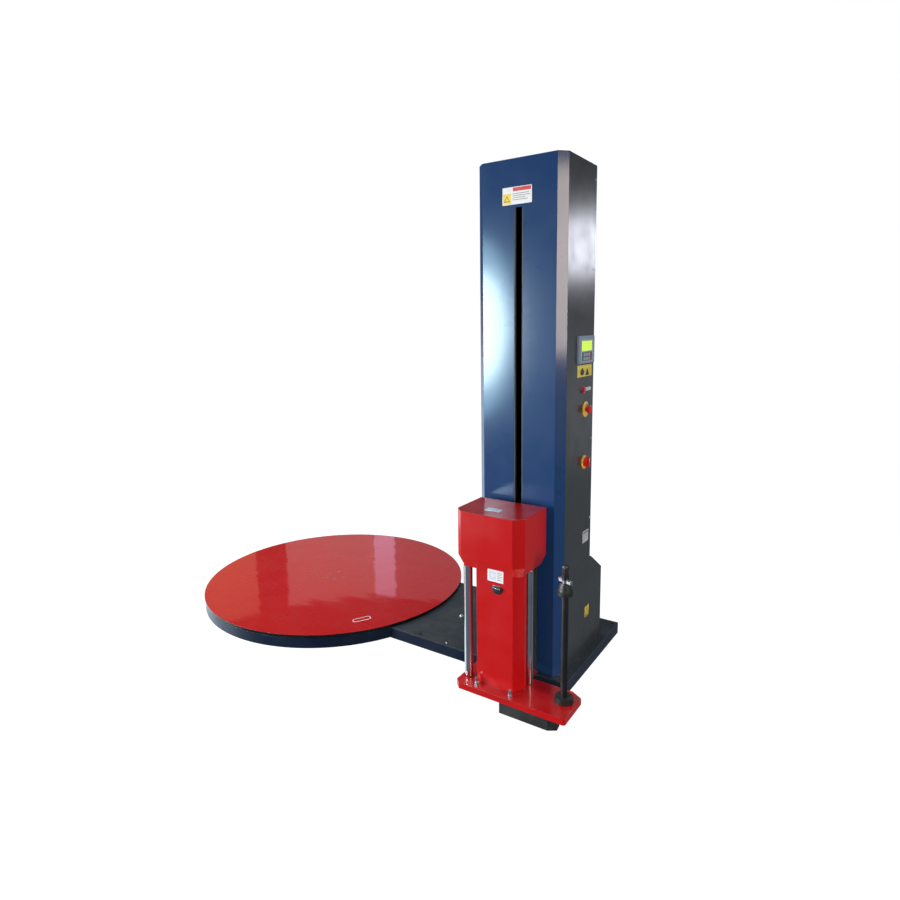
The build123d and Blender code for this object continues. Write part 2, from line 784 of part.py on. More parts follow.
# ---- cable gland in the rear housing
gland_x = mast_left + 90.0
gland_z = 120.0
gland_nut_radius = 16.0
gland_nut = 8.0
gland_body_radius = 13.0
gland_body = 14.0
gland_bore = 6.0
gland_plane = Plane(origin=(gland_x, housing_back, gland_z), z_dir=(0, 1, 0))
with BuildPart() as cable_gland:
    with BuildSketch(gland_plane):
        RegularPolygon(gland_nut_radius, 6)
    extrude(amount=gland_nut)
    with BuildSketch(gland_plane.offset(gland_nut)):
        Circle(gland_body_radius)
    extrude(amount=gland_body, taper=12)
    with BuildSketch(gland_plane):
        Circle(gland_bore)
    extrude(amount=gland_nut + gland_body, mode=Mode.SUBTRACT)
save(cable_gland, "cable_gland")

# ================================================================ carriage trolley
cheek_half = 76.0
trolley_wall = 8.0
trolley_bottom = 640.0
trolley_top = 880.0
guide_radius = 20.0
guide_width = 30.0
guide_axle = 6.0
front_axis = rail_front - roll_gap - guide_radius
rear_axis = rail_back + roll_gap + guide_radius
guide_low = 680.0
guide_high = 840.0
trolley_front = front_axis - guide_radius - 2.0
trolley_back = rear_axis + guide_radius + 2.0
arm_width = 16.0
arm_inset = 20.0
lug_bottom = 740.0
lug_height = 50.0
lug_width = 30.0
lug_gap = 0.5
back_plate_back = back_plate_front + back_plate_sheet
axle_reach = rail_pitch / 2 + guide_width / 2 + 4.0 - cheek_half
chain_front = lift_y - lift_radius - lift_half_height
with BuildPart() as trolley:
    for side in (-1, 1):
        with Locations((mast_mid + side * (cheek_half - trolley_wall / 2), trolley_front, trolley_bottom)):
            Box(trolley_wall, trolley_back - trolley_front, trolley_top - trolley_bottom,
                align=(Align.CENTER, Align.MIN, Align.MIN))
    for y_place in (trolley_front, trolley_back - trolley_wall):
        with Locations((mast_mid, y_place, trolley_bottom)):
            Box(2 * cheek_half, trolley_wall, trolley_top - trolley_bottom,
                align=(Align.CENTER, Align.MIN, Align.MIN))
    with Locations((mast_mid, back_plate_back, trolley_bottom + arm_inset)):
        Box(arm_width, trolley_front + trolley_wall - back_plate_back,
            trolley_top - trolley_bottom - 2 * arm_inset, align=(Align.CENTER, Align.MIN, Align.MIN))
    for side in (-1, 1):
        for y_place, z_place in ((front_axis, guide_low), (rear_axis, guide_high)):
            with BuildSketch(Plane.YZ.offset(mast_mid + side * cheek_half)):
                with Locations((y_place, z_place)):
                    Circle(guide_axle)
            extrude(amount=side * axle_reach)
    with Locations((mast_mid, trolley_back, lug_bottom)):
        Box(lug_width, chain_front - lug_gap - trolley_back, lug_height,
            align=(Align.CENTER, Align.MIN, Align.MIN))
save(trolley, "trolley_frame")

guides = (("guide_wheels_lower", front_axis, guide_low), ("guide_wheels_upper", rear_axis, guide_high))
for name, y_place, z_place in guides:
    with BuildPart() as guide_pair:
        for side in (-1, 1):
            with BuildSketch(Plane.YZ.offset(mast_mid + side * rail_pitch / 2 - guide_width / 2)):
                with Locations((y_place, z_place)):
                    Circle(guide_radius)
                    Circle(guide_axle + running, mode=Mode.SUBTRACT)
            extrude(amount=guide_width)
    save(guide_pair, name)

# ================================================================ carriage body
# ---- deck: a folded tray, its tongue reaches the back plate
shaft_radius = 8.0
bush_outer = 11.0
spindle_bush = spindle_radius + 7.0
motor_place = (1622.0, -590.0)
motor_boss = 10.0
left_cut = 24.0
right_cut = 8.0
tail_rise = 30.0
tail_run = 50.0
with BuildPart() as deck:
    with BuildSketch(Plane.XY.offset(deck_top - deck_depth)) as deck_plan:
        with BuildLine():
            Polyline(
                (deck_left, deck_back), (deck_left, deck_front + left_cut),
                (deck_left + left_cut, deck_front),
                (deck_right - right_cut, deck_front), (deck_right, deck_front + right_cut),
                (deck_right, deck_back - tail_rise), (deck_right - tail_run, deck_back),
                (back_right, deck_back), (back_right, back_plate_front),
                (back_left, back_plate_front), (back_left, deck_back), close=True)
        make_face()
    extrude(amount=deck_depth)
    with BuildSketch(Plane.XY.offset(deck_top - deck_depth)):
        with BuildLine():
            Polyline(
                (deck_left + deck_wall, deck_back - deck_wall),
                (deck_left + deck_wall, deck_front + left_cut + deck_wall * 0.4),
                (deck_left + left_cut + deck_wall * 0.4, deck_front + deck_wall),
                (deck_right - right_cut - deck_wall * 0.4, deck_front + deck_wall),
                (deck_right - deck_wall, deck_front + right_cut + deck_wall * 0.4),
                (deck_right - deck_wall, deck_back - tail_rise - deck_wall * 0.8),
                (deck_right - tail_run - deck_wall * 0.6, deck_back - deck_wall), close=True)
        make_face()
    extrude(amount=deck_depth - deck_plate, mode=Mode.SUBTRACT)
    with BuildSketch(Plane.XY.offset(deck_top)):
        for place in (left_roller, right_roller):
            with Locations(place):
                Circle(bush_outer)
        with Locations(spindle):
            Circle(spindle_bush)
    extrude(amount=-deck_plate, mode=Mode.SUBTRACT)
    with BuildSketch(Plane.XY.offset(deck_top)):
        with Locations(motor_place):
            Circle(motor_boss)
    extrude(amount=-deck_plate, mode=Mode.SUBTRACT)
save(deck, "carriage_deck")

# ---- column cover: the tall narrow cover in front of the feed motor
column_top = head_bottom
column_slope = 60.0


def column_points(inset):
    """Return the column's plan, moved inwards by the inset."""
    slope = hypot(column_side_right - column_front_right, column_slope)
    lean = inset * slope / column_slope
    return (
        (column_left + inset, carriage_front + inset),
        (column_front_right - lean * 0.7, carriage_front + inset),
        (column_side_right - inset, carriage_front + column_slope + inset * 0.2),
        (column_side_right - inset, column_back - inset),
        (column_left + inset, column_back - inset),
    )


latch_x = 1566.0
latch_z = 572.0
latch_stem = 7.0
latch_plane = Plane(origin=(latch_x, carriage_front, latch_z), x_dir=(1, 0, 0), z_dir=(0, -1, 0))
with BuildPart() as column:
    with BuildSketch(Plane.XY.offset(deck_top)):
        with BuildLine():
            Polyline(*column_points(0), close=True)
        make_face()
    extrude(amount=column_top - deck_top)
    with BuildSketch(Plane.XY.offset(deck_top)):
        with BuildLine():
            Polyline(*column_points(cover_sheet), close=True)
        make_face()
    extrude(amount=column_top - deck_top, mode=Mode.SUBTRACT)
    with BuildSketch(latch_plane):
        Circle(latch_stem + running)
    extrude(amount=-cover_sheet, mode=Mode.SUBTRACT)
save(column, "column_cover")

# ---- head cover: the wide box on top, its underside tapers to the neck
head_offset = -3.0
head_left = mast_mid + head_offset - head_width / 2
head_right = head_left + head_width
head_back = -388.0
head_front = head_back - head_depth
neck_taper = 42.0
neck_nip = 4.0
neck_left = head_left + neck_taper
neck_right = head_right - neck_nip
neck_back = head_back - neck_taper
neck_corner_top = head_corner - (carriage_front - head_front)
neck_corner_low = 14.0


def head_points(inset):
    """Return the head's plan, moved inwards by the inset."""
    return (
        (head_left + inset, head_back - inset),
        (head_left + inset, head_front + head_corner + 0.4 * inset),
        (head_left + head_corner + 0.4 * inset, head_front + inset),
        (head_right - head_corner - 0.4 * inset, head_front + inset),
        (head_right - inset, head_front + head_corner + 0.4 * inset),
        (head_right - inset, head_back - inset),
    )


def neck_points(inset, level):
    """Return the neck's plan at its top (level 0) or bottom (level 1), moved inwards."""
    top = (head_left, head_right, head_back, neck_corner_top)
    low = (neck_left, neck_right, neck_back, neck_corner_low)
    left, right, back, corner = [a + (b - a) * level for a, b in zip(top, low)]
    front = carriage_front
    return (
        (left + inset, back - inset),
        (left + inset, front + corner + 0.4 * inset),
        (left + corner + 0.4 * inset, front + inset),
        (right - corner - 0.4 * inset, front + inset),
        (right - inset, front + corner + 0.4 * inset),
        (right - inset, back - inset),
    )


upper_bottom = 652.0
upper_plate_sheet = 8.0
with BuildPart() as head:
    with BuildSketch(Plane.XY.offset(head_bottom)):
        with BuildLine():
            Polyline(*head_points(0), close=True)
        make_face()
    extrude(amount=head_top - head_bottom)
    for level, height in ((0, head_bottom), (1, neck_bottom)):
        with BuildSketch(Plane.XY.offset(height)):
            with BuildLine():
                Polyline(*neck_points(0, level), close=True)
            make_face()
    loft()
    with BuildSketch(Plane.XY.offset(head_bottom + cover_sheet)):
        with BuildLine():
            Polyline(*head_points(cover_sheet), close=True)
        make_face()
    extrude(amount=head_top - head_bottom - 2 * cover_sheet, mode=Mode.SUBTRACT)
    with BuildSketch(Plane.XY.offset(head_bottom)):
        with BuildLine():
            Polyline(*neck_points(cover_sheet, 0), close=True)
        make_face()
    extrude(amount=cover_sheet, mode=Mode.SUBTRACT)
    for level, height in ((0, head_bottom), (1, neck_bottom)):
        with BuildSketch(Plane.XY.offset(height)):
            with BuildLine():
                Polyline(*neck_points(cover_sheet, level), close=True)
            make_face()
    loft(mode=Mode.SUBTRACT)
    with BuildSketch(Plane.XY.offset(neck_bottom)):
        with BuildLine():
            Polyline(*column_points(0), close=True)
        make_face()
    extrude(amount=head_bottom - neck_bottom, mode=Mode.SUBTRACT)
    with Locations(((back_left + back_right) / 2, back_plate_front - cover_gap, neck_bottom)):
        Box(back_right - back_left + 2 * cover_gap, 20.0, back_top + cover_gap - neck_bottom,
            align=(Align.CENTER, Align.MIN, Align.MIN), mode=Mode.SUBTRACT)
    with Locations(((back_left + back_right) / 2, back_plate_front, upper_bottom - cover_gap)):
        Box(back_right - back_left + 20.0, 50.0, upper_plate_sheet + 2 * cover_gap,
            align=(Align.CENTER, Align.MAX, Align.MIN), mode=Mode.SUBTRACT)
save(head, "head_cover")

# ---- upper plate: carries the rollers' upper bushes and ties the head to the back plate
upper_left = 1386.0
upper_front = -622.0
upper_side_back = -440.0
upper_cut = 14.0
upper_right = head_right - 5.5
with BuildPart() as carriage_frame:
    with Locations(((back_left + back_right) / 2, back_plate_front, deck_top - deck_depth)):
        Box(back_right - back_left, back_plate_sheet, back_top - (deck_top - deck_depth),
            align=(Align.CENTER, Align.MIN, Align.MIN))
    with BuildSketch(Plane.XY.offset(upper_bottom)):
        with BuildLine():
            Polyline(
                (upper_left, upper_front + upper_cut), (upper_left + upper_cut, upper_front),
                (column_left - 1, upper_front), (column_left - 1, column_back + 1),
                (upper_right, column_back + 1), (upper_right, upper_side_back), (back_right, upper_side_back),
                (back_right, back_plate_front), (back_left, back_plate_front), (upper_left, upper_side_back),
                close=True)
        make_face()
        with Locations(left_roller):
            Circle(bush_outer, mode=Mode.SUBTRACT)
        with Locations(right_roller):
            Circle(bush_outer, mode=Mode.SUBTRACT)
    extrude(amount=upper_plate_sheet)
save(carriage_frame, "carriage_frame")

with BuildPart() as roller_bushes:
    for level, height in ((deck_top - deck_plate, deck_plate), (upper_bottom, upper_plate_sheet)):
        with BuildSketch(Plane.XY.offset(level)):
            for place in (left_roller, right_roller):
                with Locations(place):
                    Circle(bush_outer)
                    Circle(shaft_radius + running, mode=Mode.SUBTRACT)
        extrude(amount=height)
    with BuildSketch(Plane.XY.offset(deck_top - deck_plate)):
        with Locations(spindle):
            Circle(spindle_bush)
            Circle(spindle_radius + running, mode=Mode.SUBTRACT)
    extrude(amount=deck_plate)
save(roller_bushes, "shaft_bushes")

roller_bottom = deck_top + 4.0
roller_top = neck_bottom - 2.0
pulley_bottom = 40.0
shaft_over = 4.0
shaft_top = upper_bottom + upper_plate_sheet + shaft_over
shaft_low = deck_top - deck_plate - shaft_over
with BuildPart() as idle_roller:
    with BuildSketch(Plane.XY.offset(roller_bottom)):
        with Locations(left_roller):
            Circle(roller_radius)
    extrude(amount=roller_top - roller_bottom)
    with BuildSketch(Plane.XY.offset(shaft_low)):
        with Locations(left_roller):
            Circle(shaft_radius)
    extrude(amount=shaft_top - shaft_low)
save(idle_roller, "idle_roller")

# ---- feed drive under the deck: motor in the column, belt and pulleys in the tray
motor_pulley_radius = 16.0
roller_pulley_radius = 22.0
pulley_height = 20.0
belt_thickness = 2.0
feed_motor_radius = 24.0
feed_shaft = 6.0
feed_bore_depth = 60.0
feed_motor_length = 260.0
feed_shaft_reach = 55.0
belt_inset = 2.0
with BuildPart() as feed_motor:
    with BuildSketch(Plane.XY.offset(deck_top)):
        with Locations(motor_place):
            Circle(feed_motor_radius)
            Circle(feed_shaft + running, mode=Mode.SUBTRACT)
    extrude(amount=feed_bore_depth)
    with BuildSketch(Plane.XY.offset(deck_top + feed_bore_depth)):
        with Locations(motor_place):
            Circle(feed_motor_radius)
    extrude(amount=feed_motor_length - feed_bore_depth)
save(feed_motor, "feed_motor")

with BuildPart() as motor_pulley:
    with BuildSketch(Plane.XY.offset(pulley_bottom)):
        with Locations(motor_place):
            Circle(motor_pulley_radius)
    extrude(amount=pulley_height)
    with BuildSketch(Plane.XY.offset(pulley_bottom)):
        with Locations(motor_place):
            Circle(feed_shaft)
    extrude(amount=deck_top + feed_shaft_reach - pulley_bottom)
save(motor_pulley, "feed_motor_pulley")

with BuildPart() as drive_roller:
    with BuildSketch(Plane.XY.offset(roller_bottom)):
        with Locations(right_roller):
            Circle(roller_radius)
    extrude(amount=roller_top - roller_bottom)
    with BuildSketch(Plane.XY.offset(pulley_bottom)):
        with Locations(right_roller):
            Circle(shaft_radius)
    extrude(amount=shaft_top - pulley_bottom)
    with BuildSketch(Plane.XY.offset(pulley_bottom)):
        with Locations(right_roller):
            Circle(roller_pulley_radius)
    extrude(amount=pulley_height)
save(drive_roller, "drive_roller")

with BuildPart() as feed_belt:
    with BuildSketch(Plane.XY.offset(pulley_bottom + belt_inset)):
        with Locations(motor_place):
            Circle(motor_pulley_radius + gap + belt_thickness)
        with Locations(right_roller):
            Circle(roller_pulley_radius + gap + belt_thickness)
        make_hull()
    extrude(amount=pulley_height - 2 * belt_inset)
    with BuildSketch(Plane.XY.offset(pulley_bottom + belt_inset)):
        with Locations(motor_place):
            Circle(motor_pulley_radius + gap)
        with Locations(right_roller):
            Circle(roller_pulley_radius + gap)
        make_hull()
    extrude(amount=pulley_height - 2 * belt_inset, mode=Mode.SUBTRACT)
save(feed_belt, "feed_belt")

tray_bottom = 12.0
tray_wall = 2.5
tray_left = 1588.0
tray_front = -655.0
tray_back = deck_back - deck_wall - cover_gap
tray_points = (
    (tray_left, tray_front), (1818.0, tray_front), (1852.0, tray_front + 23), (1848.0, tray_front + 57),
    (1745.0, -520.0), (1745.0, tray_back), (tray_left, tray_back))
with BuildPart() as tray:
    with BuildSketch(Plane.XY.offset(tray_bottom)):
        with BuildLine():
            Polyline(*tray_points, close=True)
        make_face()
    extrude(amount=deck_top - deck_plate - tray_bottom)
    with BuildSketch(Plane.XY.offset(tray_bottom + tray_wall)):
        with BuildLine():
            Polyline(*tray_points, close=True)
        make_face()
        offset(amount=-tray_wall, kind=Kind.INTERSECTION, mode=Mode.REPLACE)
    extrude(amount=deck_top - deck_plate - tray_bottom - tray_wall, mode=Mode.SUBTRACT)
save(tray, "drive_tray")

# ---- deck bolts at the column's foot
bolt_places = ((1470.0, -648.0), (1643.0, -656.0))
nut_radius = 11.0
nut_height = 10.0
stud_radius = 7.0
stud_height = 22.0
with BuildPart() as deck_bolts:
    for place in bolt_places:
        with BuildSketch(Plane.XY.offset(deck_top)):
            with Locations(place):
                RegularPolygon(nut_radius, 6)
        extrude(amount=nut_height)
        with BuildSketch(Plane.XY.offset(deck_top + nut_height)):
            with Locations(place):
                Circle(stud_radius)
        extrude(amount=stud_height)
save(deck_bolts, "deck_bolts")

# ---- the turn latch on the column's front
latch_rise = 2.0
latch_depth = 12.0
latch_length = 44.0
latch_width = 14.0
latch_grip = 9.0
latch_edge = 2.0
with BuildPart() as latch:
    with BuildSketch(latch_plane.offset(-latch_depth)):
        Circle(latch_stem)
    extrude(amount=latch_depth + latch_rise)
    with BuildSketch(latch_plane.offset(latch_rise)):
        SlotOverall(latch_length, latch_width)
    extrude(amount=latch_grip)
    fillet(latch.faces().sort_by(Axis.Y)[0].edges(), radius=latch_edge)
save(latch, "cover_latch")

# ================================================================ film spindle
seat_bottom = deck_top + gap
seat_flange = 41.0
seat_thickness = 9.0
spigot_height = 14.0
spigot_top = seat_bottom + seat_thickness + spigot_height
spindle_collar = 8.0
collar_wall = 5.0
spindle_low = deck_top - deck_plate - spindle_collar
flange_z = 586.0
flange_radius = 32.0
flange_height = 12.0
body_z = flange_z + flange_height
body_radius = 30.0
body_height = 38.0
body_step = 6.0
body_taper = 14.0
body_top = body_z + body_height
neck_radius = 8.0
lever_hub = 16.0
lever_hub_radius = 14.0
lever_length = 74.0
lever_width = 13.0
lever_thickness = 12.0
lever_rise = 3.0
lever_turn = -20.0
knob_radius = 12.0
knob_height = 40.0
knob_edge = 5.0
with BuildPart() as spindle_post:
    with BuildSketch(Plane.XY.offset(spindle_low)):
        with Locations(spindle):
            Circle(spindle_radius)
    extrude(amount=body_z + body_step - spindle_low)
    with BuildSketch(Plane.XY.offset(spindle_low)):
        with Locations(spindle):
            Circle(spindle_radius + collar_wall)
    extrude(amount=spindle_collar - gap)
    with BuildSketch(Plane.XY.offset(body_z)):
        with Locations(spindle):
            Circle(neck_radius)
    extrude(amount=spindle_top - body_z)
    with BuildSketch(Plane.XY.offset(spindle_top)):
        with Locations(spindle):
            Circle(knob_radius)
    extrude(amount=knob_height)
    fillet(spindle_post.edges().sort_by(Axis.Z)[-1], radius=knob_edge)
    with BuildSketch(Plane.XY.offset(body_top + lever_hub + 2 * gap)):
        with Locations(spindle):
            Circle(knob_radius + 3)
    extrude(amount=spindle_top - body_top - lever_hub - 2 * gap)
save(spindle_post, "film_spindle_post")

with BuildPart() as core_seat:
    with BuildSketch(Plane.XY.offset(seat_bottom)):
        with Locations(spindle):
            Circle(seat_flange)
    extrude(amount=seat_thickness)
    with BuildSketch(Plane.XY.offset(seat_bottom)):
        with Locations(spindle):
            Circle(core_spigot_radius)
    extrude(amount=spigot_top - seat_bottom)
    with BuildSketch(Plane.XY.offset(seat_bottom)):
        with Locations(spindle):
            Circle(spindle_radius)
    extrude(amount=spigot_top - seat_bottom, mode=Mode.SUBTRACT)
save(core_seat, "core_seat")

with BuildPart() as expander:
    with BuildSketch(Plane.XY.offset(flange_z)):
        with Locations(spindle):
            Circle(flange_radius)
            Circle(spindle_radius, mode=Mode.SUBTRACT)
    extrude(amount=flange_height)
    with BuildSketch(Plane.XY.offset(body_z)):
        with Locations(spindle):
            Circle(body_radius)
            Circle(spindle_radius, mode=Mode.SUBTRACT)
    extrude(amount=body_step)
    with BuildSketch(Plane.XY.offset(body_z + body_step)):
        with Locations(spindle):
            Circle(body_radius)
            Circle(neck_radius, mode=Mode.SUBTRACT)
    extrude(amount=body_height - body_step, taper=body_taper)
save(expander, "core_expander")

with BuildPart() as lever:
    with BuildSketch(Plane.XY.offset(body_top + gap)):
        with Locations(spindle):
            Circle(lever_hub_radius)
            Circle(neck_radius + running, mode=Mode.SUBTRACT)
    extrude(amount=lever_hub)
    with BuildSketch(Plane.XY.offset(body_top + gap + lever_rise)):
        with Locations(spindle):
            SlotOverall(lever_length, lever_width, rotation=lever_turn)
            Circle(neck_radius + running, mode=Mode.SUBTRACT)
    extrude(amount=lever_thickness)
save(lever, "expander_lever")
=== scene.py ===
"""Looks of a turntable pallet wrapper: paints, metals, plastics, labels and small trim round its frame.

Metres, +Z up. The origin is on the floor, on the turntable's axis; +X runs to the mast and the film
carriage stands on the mast's -Y side. Most places are worked out from the frame's own boxes; some are given
as numbers.
"""
import math

import bmesh
import bpy
import numpy as np
from bpy.props import FloatProperty, FloatVectorProperty, IntProperty, PointerProperty
from mathutils import Matrix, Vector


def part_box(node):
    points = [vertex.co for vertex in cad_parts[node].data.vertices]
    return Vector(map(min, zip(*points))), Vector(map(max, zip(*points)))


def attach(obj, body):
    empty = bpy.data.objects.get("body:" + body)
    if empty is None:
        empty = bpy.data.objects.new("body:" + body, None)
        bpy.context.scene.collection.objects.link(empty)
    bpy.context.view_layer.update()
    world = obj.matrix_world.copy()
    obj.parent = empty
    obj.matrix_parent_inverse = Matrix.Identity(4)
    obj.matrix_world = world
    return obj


bl_info = {
    "name": "Pallet wrapper looks",
    "version": (1, 0, 0),
    "blender": (4, 5, 0),
    "location": "3D View > Sidebar > Wrapper",
    "description": "Finishes, labels and trim of a turntable pallet wrapper",
    "category": "Object",
}

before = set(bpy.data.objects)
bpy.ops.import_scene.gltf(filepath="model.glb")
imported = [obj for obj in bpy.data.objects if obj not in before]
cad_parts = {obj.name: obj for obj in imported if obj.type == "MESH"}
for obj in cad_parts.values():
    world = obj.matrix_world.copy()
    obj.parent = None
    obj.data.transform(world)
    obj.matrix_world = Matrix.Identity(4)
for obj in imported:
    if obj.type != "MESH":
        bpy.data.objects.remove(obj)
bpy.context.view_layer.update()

MM = 0.001


# ---- sizes and colours
def paint(name, description, value):
    """A colour, as linear light."""
    return FloatVectorProperty(
        name=name, description=description, subtype="COLOR", size=3, default=value, min=0, max=1)


def length(name, description, millimetres):
    """A length whose default is given in millimetres."""
    return FloatProperty(name=name, description=description, default=millimetres * MM, unit="LENGTH")


def rotation(name, description, degrees):
    """An angle whose default is given in degrees."""
    return FloatProperty(name=name, description=description, default=math.radians(degrees), unit="ROTATION")


class WrapperPaints(bpy.types.PropertyGroup):
    """Colours of the machine's paints."""

    table: paint("Table red", "Paint on the turntable's top", (0.44, 0.005, 0.006))
    carriage: paint("Carriage red", "Powder coat on the film carriage", (0.48, 0.003, 0.004))
    navy: paint("Mast navy", "Paint on the mast's front", (0.013, 0.045, 0.140))
    # Navy paint on the skirt and the base's edge, darkened to about a quarter of the mast's navy: painted
    # shade near the floor.
    shaded_base_navy: paint("Base navy", "Paint on the skirt and the base's edge", (0.00312, 0.0108, 0.0336))
    charcoal: paint("Charcoal", "Paint on the mast's sides", (0.0272, 0.0306, 0.03485))
    slate: paint("Slate", "Paint on the base's top", (0.022, 0.031, 0.040))
    # Near-black on the turntable's sides: painted shade for the dark line under its top.
    shaded_edge_band: paint("Edge band", "Dark band round the turntable", (0.006, 0.007, 0.009))


class WrapperLabels(bpy.types.PropertyGroup):
    """Sizes of the printed labels."""

    thickness: length("Thickness", "How far a label stands off its panel", 0.4)
    corner: length("Corner", "Radius of a label's corners", 3)
    mast_width: length("Mast label width", "Label above the slot, across", 143)
    mast_height: length("Mast label height", "Label above the slot, upwards", 74)
    sign_width: length("Yellow sign width", "Sign under the operator panel, across", 174)
    sign_height: length("Yellow sign height", "Sign under the operator panel, upwards", 55)
    tag_width: length("Tag width", "White tag beside the start button, across", 74)
    tag_height: length("Tag height", "White tag beside the start button, upwards", 15)
    plate_width: length("Data plate width", "White plate low on the side, across", 72)
    plate_height: length("Data plate height", "White plate low on the side, upwards", 58)
    low_sign: length("Low sign", "Square yellow sign over the base, each way", 54)
    column_width: length("Column label width", "White label over the latch, across", 78)
    column_height: length("Column label height", "White label over the latch, upwards", 54)
    head_width: length("Head label width", "Silver label on the head, across", 74)
    head_depth: length("Head label depth", "Silver label on the head, front to back", 42)


class WrapperTrim(bpy.types.PropertyGroup):
    """Sizes of the small trim."""

    screw_radius: length("Screw head radius", "Pan head of a cover screw", 5.2)
    screw_height: length("Screw head height", "Pan head of a cover screw", 2.6)
    screw_sides: IntProperty(
        name="Screw sides", description="Facets round a screw head", default=20, min=8, max=48)
    screw_inset: length("Screw inset", "From a panel's edge to its screws", 14)
    ring_wire: length("Table mark line", "Width of the outline on the turntable", 5)


class WrapperStage(bpy.types.PropertyGroup):
    """Camera and light."""

    camera_place: FloatVectorProperty(
        name="Camera place", description="Where the camera stands", subtype="TRANSLATION", size=3,
        unit="LENGTH", default=(2.8346, -2.8911, 1.6984))
    camera_yaw: rotation("Camera yaw", "Turn from +Y towards -X", 34.38)
    camera_pitch: rotation("Camera pitch", "Tilt above the horizon", -8.58)
    camera_roll: rotation("Camera roll", "Roll about the line of sight", -0.96)
    lens: FloatProperty(name="Lens", description="Focal length in millimetres", default=25.22)
    shift_x: FloatProperty(name="Shift across", description="Sideways lens shift", default=0.0101)
    shift_y: FloatProperty(name="Shift up", description="Upward lens shift", default=-0.0322)
    floor_radius: FloatProperty(
        name="Floor radius", description="Radius of the round floor", default=30.0, unit="LENGTH")
    floor_glow: FloatProperty(
        name="Floor glow", description="The floor's own light, which keeps it pale", default=0.93, min=0)
    sky: FloatProperty(
        name="Sky", description="Strength of the soft light from above", default=0.55, min=0)


# ---- meshes
def grid_faces(rows, columns, closed_rows=False, closed_columns=True):
    """Quads of a grid of points: each joins a point to the next in its row and the two above them."""
    row, column = np.meshgrid(
        np.arange(rows if closed_rows else rows - 1),
        np.arange(columns if closed_columns else columns - 1), indexing="ij")
    above, beside = (row + 1) % rows, (column + 1) % columns
    this_row, next_row = row * columns, above * columns
    corners = (this_row + column, this_row + beside, next_row + beside, next_row + column)
    return np.stack(corners, -1).reshape(-1, 4)


def place(points, origin, across, up):
    """Local x, y, z go along across, up and across x up, from the origin."""
    across, up = np.array(across, float), np.array(up, float)
    basis = np.stack((across, up, np.cross(across, up)))
    return points @ basis + np.array(origin, float)


def centre(name):
    """Middle of a CAD node's box."""
    low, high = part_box(name)
    return (np.array(low) + np.array(high)) / 2


def add_piece(name, points, faces, body, material, flat_uv=None, angle=40.0):
    """Make a mesh of the points and faces, close its seams and poles, turn it outwards and let it ride."""
    mesh = bpy.data.meshes.new(name)
    mesh.from_pydata(points.reshape(-1, 3).tolist(), [], faces.tolist())
    if flat_uv is not None:
        layer = mesh.uv_layers.new(name="print")
        corner = np.empty(len(mesh.loops), int)
        mesh.loops.foreach_get("vertex_index", corner)
        layer.data.foreach_set("uv", flat_uv.reshape(-1, 2)[corner].astype(np.float32).ravel())
    shell = bmesh.new()
    shell.from_mesh(mesh)
    bmesh.ops.remove_doubles(shell, verts=shell.verts, dist=1e-6)
    bmesh.ops.dissolve_degenerate(shell, edges=shell.edges, dist=1e-7)
    bmesh.ops.recalc_face_normals(shell, faces=shell.faces)
    shell.to_mesh(mesh)
    shell.free()
    mesh.shade_smooth()
    mesh.set_sharp_from_angle(angle=math.radians(angle))
    mesh.materials.append(material)
    piece = bpy.data.objects.new(name, mesh)
    bpy.context.scene.collection.objects.link(piece)
    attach(piece, body)
    return piece


def rounded_rectangle(width, height, radius, steps=6):
    """A rectangle's outline with quarter circles at its corners, counter-clockwise."""
    turn = np.linspace(0, math.pi / 2, steps)
    quarter = np.arange(4)[:, None] * math.pi / 2 + turn[None, :]
    middle_x = np.array((1, -1, -1, 1))[:, None] * (width / 2 - radius)
    middle_y = np.array((1, 1, -1, -1))[:, None] * (height / 2 - radius)
    points = np.stack((middle_x + radius * np.cos(quarter), middle_y + radius * np.sin(quarter)), -1)
    return points.reshape(-1, 2)


def slab(width, height, radius, thickness, soften):
    """A closed rounded plate: a point at the back, its outline three times and a point on the face."""
    steps = ((0.0, 0.0), (0.0, thickness - soften), (soften, thickness))
    rings = []
    for inset, level in steps:
        ring = rounded_rectangle(width - 2 * inset, height - 2 * inset, max(radius - inset, soften))
        rings.append(np.column_stack((ring, np.full(len(ring), level))))
    count = len(rings[0])
    back = np.zeros((count, 3))
    face = np.tile((0.0, 0.0, thickness), (count, 1))
    return np.stack([back, *rings, face]), grid_faces(5, count)


def lathe(profile, sides):
    """Turn a profile of (radius, height) points about the local z axis."""
    angle = np.linspace(0, 2 * math.pi, sides, endpoint=False)
    radius, height = np.array(profile, float).T
    x = radius[:, None] * np.cos(angle)[None, :]
    y = radius[:, None] * np.sin(angle)[None, :]
    z = np.broadcast_to(height[:, None], x.shape)
    return np.stack((x, y, z), -1), grid_faces(len(profile), sides)


def framed_ring(width, height, radius, section):
    """Carry a closed section of (outward, height) points round a rounded rectangle."""
    rings = []
    for outward, level in section:
        ring = rounded_rectangle(width + 2 * outward, height + 2 * outward, radius + outward)
        rings.append(np.column_stack((ring, np.full(len(ring), level))))
    points = np.stack(rings)
    return points, grid_faces(*points.shape[:2], closed_rows=True)


def copies(points, faces, places, across, up):
    """Repeat one shape at each place with the same directions."""
    count = points.reshape(-1, 3).shape[0]
    many = np.concatenate([place(points.reshape(-1, 3), spot, across, up) for spot in places])
    return many, np.concatenate([faces + index * count for index in range(len(places))])


# ---- shader helpers
def node(tree, kind, inputs=None, **settings):
    """Add a shader node; an input is a number, a colour or another node's output."""
    made = tree.nodes.new(kind)
    for key, value in settings.items():
        setattr(made, key, value)
    for key, value in (inputs or {}).items():
        if isinstance(value, bpy.types.NodeSocket):
            tree.links.new(value, made.inputs[key])
        else:
            made.inputs[key].default_value = value
    return made


def maths(tree, operation, first, second=0.0, clamp=False):
    """Output of a math node."""
    made = node(tree, "ShaderNodeMath", {0: first, 1: second}, operation=operation, use_clamp=clamp)
    return made.outputs[0]


